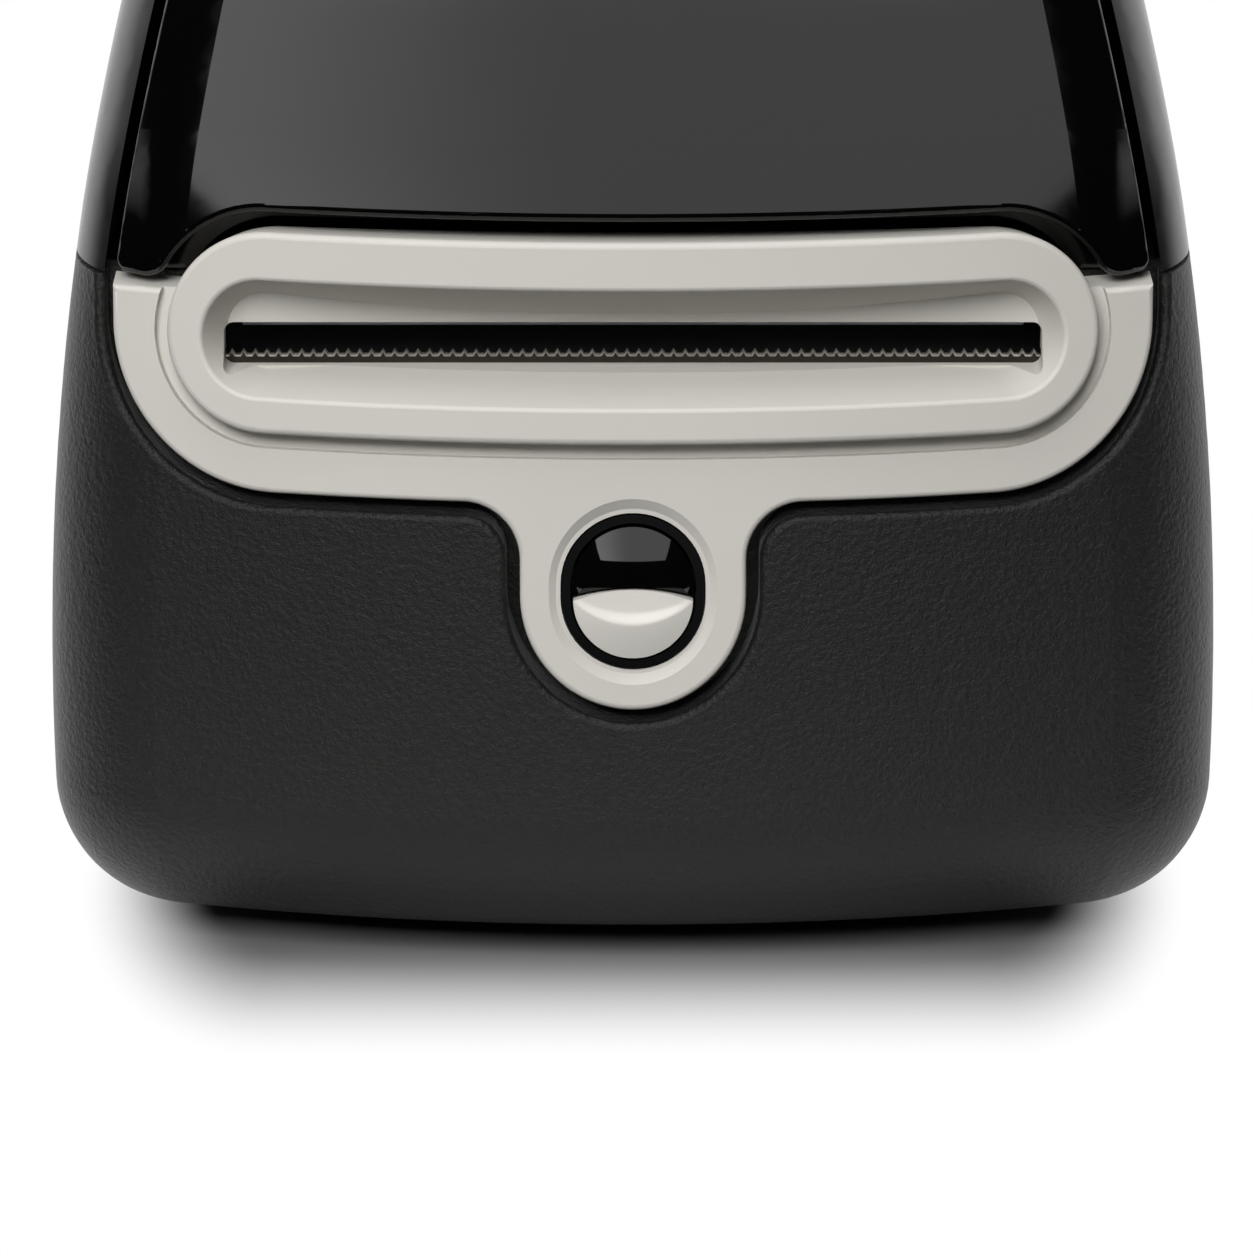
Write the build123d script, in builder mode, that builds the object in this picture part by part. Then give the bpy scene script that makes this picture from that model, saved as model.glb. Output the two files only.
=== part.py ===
"""Desktop label printer: housing, hinged lid, label roll, print head, platen drive and feed button.

Millimetres. Z is up, the label exit faces -Y, X runs across the printer.
The origin is on the table, under the middle of the printer.
"""
import os
from math import acos, atan2, cos, degrees, hypot, pi, radians, sin, sqrt, tan

from build123d import *

os.makedirs("parts", exist_ok=True)

# Outer form
body_width = 127.0
body_depth = 187.0
body_height = 146.0
foot_height = 2.6
front_bend_radius = 208.0
front_lean = 10.0
hood_lean = 30.0
hood_start_z = 84.0
hood_blend = 30.0
side_wide_z = 28.0
side_bulge_radius = 312.0
rear_round = 24.0
corner_round = 16.0
base_round = 14.0
wall = 2.4
parting_z = 73.9
parting_groove = 0.5
parting_groove_depth = 0.9

# Light front trim and the pocket that it sits in
trim_inset = 8.2
trim_low_z = 52.6
trim_arm_drop = 0.5
trim_corner = 17.0
trim_depth = 5.0
trim_face = 2.4
trim_skirt = 1.8
trim_edge_round = 0.6
tongue_radius = 12.0
tongue_fillet = 6.0
pocket_side_gap = 0.9
pocket_low_gap = 1.4
pocket_lip_round = 0.8
pocket_floor = 2.2

# Label exit mouth
mouth_z = 69.7
mouth_half_height = 10.75
mouth_inset = 5.6
mouth_proud = 1.6
mouth_rim_drop = 0.6
mouth_wall = 2.2
mouth_edge_round = 0.7
mouth_lip_round = 0.5
recess_half_height = 6.3
recess_inset = 3.8
recess_depth = 8.2
slot_plate_back = 19.5
slot_plate = 2.5
slot_lip = 0.9
slot_corner = 1.0
slot_inset = 6.2
slot_low_z = 64.8
slot_height = 4.8
groove_width = 1.7
groove_depth = 1.4
mouth_fit = 0.15
lid_mouth_gap = 1.7

# Serrated tear bar
tear_pitch = 1.24
tear_tooth_height = 0.55
tear_rise = 1.4
tear_fit = 0.2
tear_bar_height = 5.4
tear_bar_thickness = 0.8

# Round button group on the tongue
button_z = 42.8
button_stretch = 1.4
dish_radius = 9.3
dish_depth = 0.6
dish_slope = 62.0
ring_radius = 7.55
ring_bore = 6.65
ring_length = 12.0
ring_sink = 0.3
cap_radius = 6.35
cap_dome = 15.0
cap_proud = 1.7
cap_length = 6.4
split_radius = 17.0
split_rise = 1.2
split_gap = 0.15
ledge_radius = 12.7
ledge_rise = 10.2
ledge_depth = 1.3
ledge_slope = 35.0
button_travel = 0.8
switch_gap = 0.1
switch_side = 6.0
switch_drop = 2.6
switch_height = 3.4
plunger_radius = 1.6
plunger_height = 0.9
led_radius = 1.5
led_height = 3.6
board_thickness = 1.6
button_board_width = 22.0
button_board_height = 24.0

# Upper housing, lid and hinge
cheek = 3.6
lid_groove = 1.2
lid_wall = 2.4
lid_seam = 0.4
lid_corner_round = 1.2
lid_edge_round = 0.8
lid_notch_round = 3.0
lid_lip = 1.6
lid_lip_gap = 2.0
lid_rib_depth = 7.0
lid_rib_inset = 7.0
lid_rib = 1.8
hinge_z = 112.0
hinge_inset = 4.9
hinge_pin_radius = 1.5
hinge_fit = 0.08
hinge_barrel = 3.2
hinge_clear = 0.4
hinge_trough_wall = 2.0
knuckle_length = 10.0
knuckle_inset = 40.5
knuckle_gap = 0.4
hinge_web = 6.0

# Base plate, feet and screws
plate_side_margin = 5.5
plate_end_margin = 6.5
plate_corner = 6.0
plate_step = 3.0
plate_fit = 0.2
foot_side_inset = 8.0
foot_end_inset = 9.0
foot_radius = 6.0
foot_sink = 0.8
vent_length = 26.0
vent_width = 2.4
vent_pitch = 6.0
vent_count = 5
screw_side_inset = 6.0
screw_front_reach = 12.0
screw_rear_reach = 34.0
screw_head_radius = 2.9
screw_head_height = 1.5
screw_radius = 1.25
screw_length = 12.0

# Roll tray and spool
spool_back = 88.7
roll_low_z = 52.0
roll_lid_gap = 11.6
roll_bracket_gap = 17.2
core_wall = 1.8
spindle_radius = 12.4
spindle_wall = 2.0
spool_fit = 0.06
spool_flange_radius = 27.0
spool_flange = 2.6
journal_radius = 4.0
journal_overrun = 1.8
guide_disc = 2.5
guide_hub_radius = 15.2
guide_hub_length = 4.5
collar_radius = 7.0
collar_gap = 0.4
spindle_end_gap = 4.0
tray_gap = 3.0
tray_wall = 2.2
tray_inset = 8.5
tray_rear_angle = 15.0
deck_z = 66.0
deck_front_back = 31.0
shelf_rear_gap = 0.6
frame_notch = 0.5
sensor_x = -12.0
sensor_window = 1.6
leg_radius = 4.0
bracket_frame_gap = 1.0
bracket_wall = 2.6
bracket_half_depth = 14.0
bracket_rise = 8.0

# Print mechanism frame
frame_inset = 16.5
frame_wall = 1.6
frame_front_back = 7.4
frame_rear_back = 38.0
frame_top_z = 84.0
frame_foot = 11.0
frame_corner = 4.0
motor_wing_radius = 19.0
bridge_back = 18.0
bridge_depth = 8.0
bridge_z = 79.0
bridge_height = 2.5

# Platen roller and drive gears
platen_back = 16.0
platen_z = 59.5
platen_radius = 6.0
platen_end_gap = 3.0
platen_shaft_radius = 2.5
bush_radius = 4.5
bush_flange_radius = 5.6
bush_flange = 1.0
running_fit = 0.06
gear_module = 0.8
gear_pressure = 20.0
gear_addendum = 0.85
gear_dedendum = 1.15
pinion_teeth = 12
idler_teeth = 36
idler_small_teeth = 12
platen_teeth = 24
gear_width = 2.8
gear_lift = 1.0
gear_step = 0.6
gear_backlash = 0.16
idler_angle = -60.0
motor_angle = -15.0
stud_radius = 2.0
stud_head_radius = 3.2
stud_head = 0.8
motor_radius = 17.5
motor_length = 20.0
motor_boss_radius = 5.0
motor_shaft_radius = 1.0
motor_shaft_depth = 14.0
motor_screw_reach = 13.0
motor_screw_radius = 1.25
motor_screw_head_radius = 2.2
motor_screw_head = 0.7
motor_screw_depth = 4.0
shaft_overrun = 0.3

# Print head and release lever
head_pivot_back = 32.0
head_pivot_z = 77.0
head_rod_radius = 1.5
head_front_back = 8.0
head_rear_back = 24.0
head_end_gap = 5.0
head_gap = 0.3
head_strip = 1.0
head_strip_depth = 9.0
carrier_thickness = 3.0
carrier_arm = 3.0
carrier_arm_inset = 4.0
carrier_hub = 3.4
lever_frame_gap = 1.4
lever_thickness = 3.0
lever_hub = 4.2
lever_height = 26.0
lever_tilt = 14.0
lever_width = 5.0
lever_pad_length = 8.0
lever_pad_width = 8.0
spring_half_span = 26.0
spring_strip = 0.6
spring_depth = 5.0

# Electronics and rear sockets
board_leg_gap = 3.0
board_front_y = 16.0
board_z = 14.0
board_post_radius = 2.6
board_post_inset = 4.0
board_rear_gap = 1.4
chip_side = 14.0
chip_height = 1.6
usb_x = -16.0
usb_width = 12.0
usb_height = 11.0
usb_depth = 16.4
usb_mouth_width = 8.6
usb_mouth_height = 7.9
usb_mouth_depth = 9.0
usb_tongue_width = 5.6
usb_tongue_height = 3.2
dc_x = 14.0
dc_width = 9.4
dc_height = 11.0
dc_depth = 14.0
dc_bore = 2.9
dc_pin_radius = 1.0
dc_bore_depth = 9.5
socket_sink = 0.8
socket_gap = 0.3
sensor_width = 7.0
sensor_depth = 5.0
sensor_height = 3.0
sensor_back = 40.0

# Lines that several pieces share
lean = radians(front_lean)
front_y = -body_depth / 2 - base_round * (tan(lean) + 1 / cos(lean) - 1)
rear_y = body_depth / 2
bend_y = front_y + front_bend_radius
hood_radius = (body_height - hood_start_z) / (1 - sin(radians(hood_lean)))
hood_y = front_y + (hood_start_z - foot_height) * tan(lean) + hood_radius * cos(radians(hood_lean))
hood_z = body_height - hood_radius
floor_z = foot_height + wall
slot_plate_y = front_y + slot_plate_back
deck_front_y = slot_plate_y + deck_front_back
frame_front_y = slot_plate_y + frame_front_back
frame_rear_y = slot_plate_y + frame_rear_back
bridge_y = slot_plate_y + bridge_back
platen_y = slot_plate_y + platen_back
head_pivot_y = slot_plate_y + head_pivot_back
head_front_y = slot_plate_y + head_front_back
head_rear_y = slot_plate_y + head_rear_back
sensor_y = slot_plate_y + sensor_back
hinge_y = rear_y - hinge_inset
hinge_swing = hypot(hinge_inset, hinge_inset - wall) + hinge_clear
idler_reach = gear_module * (platen_teeth + idler_small_teeth) / 2
idler_y = platen_y + idler_reach * cos(radians(idler_angle))
idler_z = platen_z + idler_reach * sin(radians(idler_angle))
motor_reach = gear_module * (idler_teeth + pinion_teeth) / 2
motor_y = idler_y + motor_reach * cos(radians(motor_angle))
motor_z = idler_z + motor_reach * sin(radians(motor_angle))
head_low_z = platen_z + platen_radius + head_gap
carrier_z = head_low_z + head_strip
socket_y = rear_y - socket_sink
board_top_z = board_z + board_thickness
far = 3 * body_depth
cut_reach = 0.15 * body_depth
through_share = 0.8
close = 0.001
trim_half_width = body_width / 2 - trim_inset
mouth_half_length = trim_half_width - mouth_inset
recess_half_length = mouth_half_length - recess_inset
slot_half_width = mouth_half_length - slot_inset
tear_teeth = int(2 * slot_half_width / tear_pitch)
knuckle_inner_x = body_width / 2 - knuckle_inset
plate_half_x = body_width / 2 - base_round - plate_side_margin
plate_half_y = body_depth / 2 - base_round - plate_end_margin
foot_x = plate_half_x - foot_side_inset
foot_y = plate_half_y - foot_end_inset
screw_x = plate_half_x - screw_side_inset
roll_radius = (body_height - lid_wall - roll_lid_gap - roll_low_z) / 2
spool_z = roll_low_z + roll_radius
spool_y = slot_plate_y + spool_back
screw_front_y = spool_y - screw_front_reach
screw_rear_y = spool_y + screw_rear_reach
tray_radius = roll_radius + tray_gap
tray_half_length = body_width / 2 - tray_inset
frame_x = body_width / 2 - frame_inset
frame_outer_x = frame_x + frame_wall
bracket_x = frame_x - bracket_frame_gap
spindle_end_x = bracket_x - spindle_end_gap
roll_half_width = bracket_x - roll_bracket_gap
platen_half_length = frame_x - platen_end_gap
head_half_length = frame_x - head_end_gap
carrier_arm_x = head_half_length - carrier_arm_inset
lever_x = lever_frame_gap - frame_x
gear_one_x = frame_outer_x + gear_lift
gear_two_x = gear_one_x + gear_width + gear_step
board_half_x = screw_x - leg_radius - board_leg_gap


def half_width(z, inset):
    """Half the printer's width at height z, drawn in by inset."""
    bulge = sqrt((side_bulge_radius - inset) ** 2 - (z - side_wide_z) ** 2)
    return body_width / 2 - side_bulge_radius + bulge


def face_radius(z):
    """Distance of the leaning front from the upright axis that it bends round."""
    return front_bend_radius - (z - foot_height) * tan(lean)


def side_region(inset, low, high):
    """Front view of the space between the two bulging sides, from low to high."""
    with BuildSketch(Plane.XZ) as region:
        with BuildLine():
            for side in (1, -1):
                ThreePointArc(
                    (side * half_width(low, inset), low),
                    (side * half_width((low + high) / 2, inset), (low + high) / 2),
                    (side * half_width(high, inset), high),
                )
            Line((half_width(low, inset), low), (-half_width(low, inset), low))
            Line((half_width(high, inset), high), (-half_width(high, inset), high))
        make_face()
    return region.sketch


def skin(inset):
    """The whole closed outer form, drawn in by inset on every side."""
    low = foot_height + inset
    top = body_height - inset
    arc = hood_radius - inset
    foot_y_line = front_y + inset / cos(lean) + inset * tan(lean)
    off_y = foot_y_line - hood_y
    off_z = low - hood_z
    along = off_y * sin(lean) + off_z * cos(lean)
    reach = -along + sqrt(along**2 - off_y**2 - off_z**2 + arc**2)
    knee = (foot_y_line + reach * sin(lean), low + reach * cos(lean))
    middle = (atan2(knee[1] - hood_z, hood_y - knee[0]) + pi / 2) / 2
    with BuildPart() as form:
        with BuildSketch(Plane.YZ) as profile:
            with BuildLine():
                Line((foot_y_line, low), knee)
                ThreePointArc(
                    knee,
                    (hood_y - arc * cos(middle), hood_z + arc * sin(middle)),
                    (hood_y, top),
                )
                Polyline((hood_y, top), (bend_y, top), (bend_y, low), (foot_y_line, low))
            make_face()
            fillet(profile.vertices().sort_by_distance((knee[0], knee[1], 0))[0], hood_blend)
        revolve(axis=Axis((0, bend_y, 0), (0, 0, 1)))
        extrude(side_region(inset, low, top), amount=far, both=True, mode=Mode.INTERSECT)
        with BuildSketch(Plane.YZ):
            with Locations((rear_y - inset, top)):
                RectangleRounded(far, far, rear_round - inset, align=(Align.MAX, Align.MAX))
        extrude(amount=far, both=True, mode=Mode.INTERSECT)
        side_edges = form.edges().filter_by(lambda edge: abs(edge.center().X) > corner_round)
        fillet(side_edges.filter_by(lambda edge: edge.center().Z > low + wall / 2), corner_round - inset)
        fillet(form.edges().group_by(Axis.Z)[0], base_round - inset)
    return form.part


def front_form(inset):
    """A cone with the bent, leaning front surface and no corners, drawn in by inset."""
    step = inset / cos(lean)
    with BuildPart() as form:
        with BuildSketch(Plane.XZ.offset(-bend_y)):
            Polygon(
                (0, foot_height),
                (face_radius(foot_height) - step, foot_height),
                (face_radius(body_height) - step, body_height),
                (0, body_height),
                align=None,
            )
        revolve(axis=Axis((0, bend_y, 0), (0, 0, 1)))
    return form.part


def face_band(centre_z, half_length, near_half, far_half, near, deep):
    """A round-ended bar laid along the bent front: near_half high at near, far_half high at deep."""
    turn = degrees((half_length - near_half) / face_radius(centre_z))

    def spot(out, up):
        return (
            face_radius(centre_z) + out * cos(lean) - up * sin(lean),
            centre_z + out * sin(lean) + up * cos(lean),
        )

    def turned(angle):
        return Plane(
            origin=(0, bend_y, 0),
            x_dir=(sin(radians(angle)), -cos(radians(angle)), 0),
            z_dir=(-cos(radians(angle)), -sin(radians(angle)), 0),
        )

    with BuildPart() as band:
        with BuildSketch(turned(-turn)):
            Polygon(
                spot(near, near_half),
                spot(near, -near_half),
                spot(deep, -far_half),
                spot(deep, far_half),
                align=None,
            )
        revolve(axis=Axis((0, bend_y, 0), (0, 0, 1)), revolution_arc=2 * turn)
        for angle in (-turn, turn):
            with BuildSketch(turned(angle)):
                Polygon(
                    spot(near, 0),
                    spot(near, near_half),
                    spot(deep, far_half),
                    spot(deep, 0),
                    align=None,
                )
            root = turned(angle).from_local_coords(Vector(*spot(deep, 0)))
            tip = turned(angle).from_local_coords(Vector(*spot(near, 0)))
            outward = tip - root if angle < 0 else root - tip
            revolve(axis=Axis(root, outward), revolution_arc=180)
    return band.part


def trim_outline(side_gap, low_gap, top_z):
    """Front view of the U-shaped trim with its round tongue, grown by the two gaps."""
    reach = trim_half_width + side_gap
    base = trim_low_z - low_gap
    round_tongue = tongue_radius + low_gap
    with BuildSketch(Plane.XZ) as outline:
        with Locations((0, base)):
            Rectangle(2 * reach, top_z - base, align=(Align.CENTER, Align.MIN))
        fillet(outline.vertices().group_by(Axis.Y)[0], trim_corner + side_gap)
        with Locations((0, button_z)):
            Circle(round_tongue)
            Rectangle(2 * round_tongue, base - button_z, align=(Align.CENTER, Align.MIN))
        inner = outline.vertices().filter_by(
            lambda corner: abs(abs(corner.X) - round_tongue) < close and abs(corner.Y - base) < close
        )
        fillet(inner, tongue_fillet - low_gap)
    return outline.sketch


def face_plane(z, out):
    """A plane on the leaning front at height z, moved outwards by out, with its Y up the face."""
    origin = (0, front_y + (z - foot_height) * tan(lean) - out * cos(lean), z + out * sin(lean))
    return Plane(origin=origin, x_dir=(1, 0, 0), z_dir=(0, -cos(lean), sin(lean)))


def long_round(radius):
    """The upright stretched circle that the button group is drawn with."""
    with BuildSketch() as shape:
        Circle(radius)
        with Locations((0, button_stretch)):
            Circle(radius)
        with Locations((0, button_stretch / 2)):
            Rectangle(2 * radius, button_stretch)
    return shape.sketch


def gear_profile(teeth, phase):
    """Involute spur gear outline; one tooth is centred on the direction phase, in degrees."""
    pitch = gear_module * teeth / 2
    base = pitch * cos(radians(gear_pressure))
    tip = pitch + gear_addendum * gear_module
    root = pitch - gear_dedendum * gear_module
    half_tooth = pi / (2 * teeth) - gear_backlash / (2 * pitch)

    def involute(radius):
        angle = acos(base / radius)
        return tan(angle) - angle

    start = max(base, root)
    radii = [start, (start + pitch) / 2, pitch, (pitch + tip) / 2, tip]
    flank = [(radius, half_tooth + involute(pitch) - involute(radius)) for radius in radii]
    if root < base:
        flank = [(root, flank[0][1])] + flank
    points = []
    for tooth in range(teeth):
        middle = radians(phase) + 2 * pi * tooth / teeth
        for radius, angle in flank:
            points.append((radius * cos(middle - angle), radius * sin(middle - angle)))
        for radius, angle in reversed(flank):
            points.append((radius * cos(middle + angle), radius * sin(middle + angle)))
    with BuildSketch() as outline:
        Polygon(*points, align=None)
    return outline.sketch


def upright(face):
    """True for a wall that was drawn straight through along Y."""
    return abs(face.normal_at().Y) < close


def in_front(face):
    """True for a face in the front half."""
    return face.bounding_box().max.Y < 0


def through_faces(part):
    """Faces that run through the printer from front to back."""
    return [face for face in part.faces() if face.bounding_box().size.Y > through_share * body_depth]


def skin_edges(faces):
    """Edges of such faces that lie on the outer skin."""
    edges = [edge for face in faces for edge in face.edges()]
    return [edge for edge in edges if edge.bounding_box().size.Y < through_share * body_depth]


outer_skin = skin(0)
face_cone = front_form(0)
pocket_cone = front_form(trim_depth)
mouth_outline = face_band(
    mouth_z,
    mouth_half_length + mouth_fit,
    mouth_half_height + mouth_fit,
    mouth_half_height + mouth_fit,
    cut_reach,
    -cut_reach,
)

# Block of plastic that carries the pocket, and the pocket that is cut into it
with BuildPart() as pocket_block:
    extrude(trim_outline(pocket_side_gap + wall, pocket_low_gap + wall, parting_z + wall), amount=far)
    add(outer_skin, mode=Mode.INTERSECT)
    add(front_form(trim_depth + pocket_floor), mode=Mode.SUBTRACT)

with BuildPart() as pocket:
    extrude(trim_outline(pocket_side_gap, pocket_low_gap, parting_z + wall), amount=far)
    add(pocket_cone, mode=Mode.SUBTRACT)

# Shadow groove at the parting line
with BuildPart() as parting_ring:
    add(outer_skin)
    add(skin(parting_groove_depth), mode=Mode.SUBTRACT)
    with Locations((0, 0, parting_z)):
        Box(
            far,
            far,
            parting_groove,
            align=(Align.CENTER, Align.CENTER, Align.MAX),
            mode=Mode.INTERSECT,
        )

# Lower housing: rounded tub with the trim pocket, open at the top and over the base plate
with BuildPart() as tub_hollow:
    add(skin(wall))
    add(pocket_block.part, mode=Mode.SUBTRACT)

with BuildPart() as lower_housing:
    add(outer_skin)
    add(pocket.part, mode=Mode.SUBTRACT)
    with Locations((0, 0, parting_z)):
        Box(far, far, far, align=(Align.CENTER, Align.CENTER, Align.MIN), mode=Mode.SUBTRACT)
    pocket_walls = lower_housing.faces().filter_by(upright).filter_by(in_front)
    fillet([face.edges().sort_by(Axis.Y)[0] for face in pocket_walls], pocket_lip_round)
    add(tub_hollow.part, mode=Mode.SUBTRACT)
    add(mouth_outline, mode=Mode.SUBTRACT)
    with BuildSketch(face_plane(button_z, 0)):
        add(long_round(ring_radius + mouth_fit))
    extrude(amount=-cut_reach, mode=Mode.SUBTRACT)
    with BuildSketch(Plane.XY.offset(foot_height)):
        RectangleRounded(2 * plate_half_x, 2 * plate_half_y, plate_corner)
    extrude(amount=wall / 2, mode=Mode.SUBTRACT)
    with BuildSketch(Plane.XY.offset(foot_height)):
        RectangleRounded(
            2 * (plate_half_x - plate_step),
            2 * (plate_half_y - plate_step),
            plate_corner - plate_step / 2,
        )
    extrude(amount=wall, mode=Mode.SUBTRACT)
    with BuildSketch(Plane.XZ.offset(-rear_y)):
        with Locations((usb_x, board_top_z + usb_height / 2)):
            Rectangle(usb_width + 2 * socket_gap, usb_height + 2 * socket_gap)
        with Locations((dc_x, board_top_z + dc_height / 2)):
            Rectangle(dc_width + 2 * socket_gap, dc_height + 2 * socket_gap)
    extrude(amount=2 * wall, mode=Mode.SUBTRACT)
    add(parting_ring.part, mode=Mode.SUBTRACT)
lower_housing.part.label = "lower_housing"
export_step(lower_housing.part, "parts/lower_housing.step")

# Base plate: stepped into the housing floor from below, with vents, foot pockets and board posts
with BuildPart() as base_plate:
    with BuildSketch(Plane.XY.offset(foot_height)):
        RectangleRounded(2 * (plate_half_x - plate_fit), 2 * (plate_half_y - plate_fit), plate_corner)
    extrude(amount=wall / 2)
    with BuildSketch(Plane.XY.offset(foot_height + wall / 2)):
        RectangleRounded(
            2 * (plate_half_x - plate_step - plate_fit),
            2 * (plate_half_y - plate_step - plate_fit),
            plate_corner - plate_step / 2,
        )
    extrude(amount=wall / 2)
    board_rear_y = rear_y - wall - board_rear_gap
    post_half_x = board_half_x - board_post_inset
    post_ys = (board_front_y + board_post_inset, plate_half_y - plate_step - 2 * board_post_inset)
    with Locations(*[(side * post_half_x, y, floor_z) for side in (-1, 1) for y in post_ys]):
        Cylinder(board_post_radius, board_z - floor_z, align=(Align.CENTER, Align.CENTER, Align.MIN))
    with Locations(*[(x, y, foot_height) for x in (-foot_x, foot_x) for y in (-foot_y, foot_y)]):
        Cylinder(
            foot_radius + plate_fit,
            foot_sink,
            align=(Align.CENTER, Align.CENTER, Align.MIN),
            mode=Mode.SUBTRACT,
        )
    screw_spots = [(x, y) for x in (-screw_x, screw_x) for y in (screw_front_y, screw_rear_y)]
    with Locations(*[(x, y, foot_height) for x, y in screw_spots]):
        Cylinder(
            screw_head_radius + plate_fit,
            screw_head_height,
            align=(Align.CENTER, Align.CENTER, Align.MIN),
            mode=Mode.SUBTRACT,
        )
        Cylinder(
            screw_radius + plate_fit,
            wall,
            align=(Align.CENTER, Align.CENTER, Align.MIN),
            mode=Mode.SUBTRACT,
        )
    with BuildSketch(Plane.XY.offset(foot_height)):
        with Locations((0, -foot_y / 2)):
            with GridLocations(0, vent_pitch, 1, vent_count):
                SlotOverall(vent_length, vent_width)
    extrude(amount=wall, mode=Mode.SUBTRACT)
base_plate.part.label = "base_plate"
export_step(base_plate.part, "parts/base_plate.step")

# Four rubber feet in the pockets under the base plate
with BuildPart() as rubber_feet:
    with Locations(*[(x, y, 0) for x in (-foot_x, foot_x) for y in (-foot_y, foot_y)]):
        Cylinder(foot_radius, foot_height + foot_sink, align=(Align.CENTER, Align.CENTER, Align.MIN))
    chamfer(rubber_feet.edges().group_by(Axis.Z)[0], foot_sink / 2)
rubber_feet.part.label = "rubber_feet"
export_step(rubber_feet.part, "parts/rubber_feet.step")

# Four screws that pull the base plate up against the legs of the roll tray
with BuildPart() as base_screws:
    with Locations(*[(x, y, foot_height + screw_head_height) for x, y in screw_spots]):
        Cylinder(screw_head_radius, screw_head_height, align=(Align.CENTER, Align.CENTER, Align.MAX))
        Cylinder(screw_radius, screw_length, align=(Align.CENTER, Align.CENTER, Align.MIN))
    with Locations(*[(x, y, foot_height) for x, y in screw_spots]):
        Box(
            screw_head_radius,
            screw_head_radius / 4,
            screw_head_height / 2,
            align=(Align.CENTER, Align.CENTER, Align.MIN),
            mode=Mode.SUBTRACT,
        )
        Box(
            screw_head_radius / 4,
            screw_head_radius,
            screw_head_height / 2,
            align=(Align.CENTER, Align.CENTER, Align.MIN),
            mode=Mode.SUBTRACT,
        )
base_screws.part.label = "base_screws"
export_step(base_screws.part, "parts/base_screws.step")

# Upper housing: two bulging cheeks and the rear wall with the hinge trough and bosses
boss_start = knuckle_inner_x + knuckle_length + knuckle_gap
with BuildPart() as upper_hollow:
    add(skin(wall))
    extrude(
        side_region(cheek, parting_z - wall, body_height + wall),
        amount=far,
        both=True,
        mode=Mode.INTERSECT,
    )

with BuildPart() as hinge_trough:
    with BuildSketch(Plane.YZ):
        with Locations((hinge_y, hinge_z)):
            Circle(hinge_swing + hinge_trough_wall)
            Circle(hinge_swing, mode=Mode.SUBTRACT)
        with Locations((rear_y - wall, hinge_z)):
            Rectangle(cut_reach, cut_reach, align=(Align.MAX, Align.MAX), mode=Mode.INTERSECT)
    extrude(amount=half_width(hinge_z, cheek / 2), both=True)
    add(outer_skin, mode=Mode.INTERSECT)

with BuildPart() as upper_housing:
    add(outer_skin)
    with Locations((0, 0, parting_z)):
        Box(far, far, far, align=(Align.CENTER, Align.CENTER, Align.MAX), mode=Mode.SUBTRACT)
    add(upper_hollow.part, mode=Mode.SUBTRACT)
    with BuildSketch(Plane.XZ.offset(corner_round - rear_y)):
        add(side_region(cheek, parting_z - wall, body_height + wall))
    extrude(amount=far, mode=Mode.SUBTRACT)
    with BuildSketch(Plane.XZ.offset(-rear_y)):
        add(side_region(cheek, hinge_z - hinge_swing, body_height + wall))
    extrude(amount=far, mode=Mode.SUBTRACT)
    add(hinge_trough.part)
    for side in (-1, 1):
        with Locations((side * (boss_start + knuckle_length / 2), hinge_y, hinge_z)):
            Box(
                knuckle_length,
                hinge_barrel,
                hinge_swing + hinge_trough_wall / 2,
                align=(Align.CENTER, Align.CENTER, Align.MAX),
            )
        with Locations(Location((side * boss_start, hinge_y, hinge_z), (0, 90 * side, 0))):
            Cylinder(hinge_barrel, knuckle_length, align=(Align.CENTER, Align.CENTER, Align.MIN))
            Cylinder(
                hinge_pin_radius,
                knuckle_length,
                align=(Align.CENTER, Align.CENTER, Align.MIN),
                mode=Mode.SUBTRACT,
            )
upper_housing.part.label = "upper_housing"
export_step(upper_housing.part, "parts/upper_housing.step")

# Two steel pins that the lid swings on
with BuildPart() as hinge_pins:
    for side in (-1, 1):
        with Locations(Location((side * knuckle_inner_x, hinge_y, hinge_z), (0, 90 * side, 0))):
            Cylinder(
                hinge_pin_radius,
                boss_start + knuckle_length - knuckle_inner_x,
                align=(Align.CENTER, Align.CENTER, Align.MIN),
            )
hinge_pins.part.label = "hinge_pins"
export_step(hinge_pins.part, "parts/hinge_pins.step")

# Lid: thin hood between the cheeks, notched round the mouth, with ribs, a dust lip and two knuckles
lid_low_z = parting_z + lid_seam
lid_lip_y = slot_plate_y + slot_plate + lid_lip_gap
lid_rib_x = half_width(body_height, cheek) - lid_rib_inset
notch_half_height = (mouth_half_height + lid_mouth_gap) * cos(lean)
notch_turn = (mouth_half_length - mouth_half_height) / face_radius(mouth_z)
notch_half_length = face_radius(mouth_z) * sin(notch_turn) + notch_half_height
with BuildSketch(Plane.XZ) as lid_view:
    add(side_region(cheek + lid_groove, lid_low_z, body_height + wall))
    with Locations((0, mouth_z)):
        SlotOverall(2 * notch_half_length, 2 * notch_half_height, mode=Mode.SUBTRACT)
    low_corners = lid_view.vertices().filter_by(lambda corner: abs(corner.Y - lid_low_z) < lid_seam / 2)
    fillet(low_corners.sort_by(lambda corner: abs(corner.X))[:2], lid_notch_round)
    low_corners = lid_view.vertices().filter_by(lambda corner: abs(corner.Y - lid_low_z) < lid_seam / 2)
    fillet(low_corners.sort_by(lambda corner: abs(corner.X))[-2:], lid_corner_round)

with BuildPart() as lid_form:
    add(outer_skin)
    extrude(lid_view.sketch, amount=far, both=True, mode=Mode.INTERSECT)
    fillet(skin_edges(through_faces(lid_form)), lid_edge_round)

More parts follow.
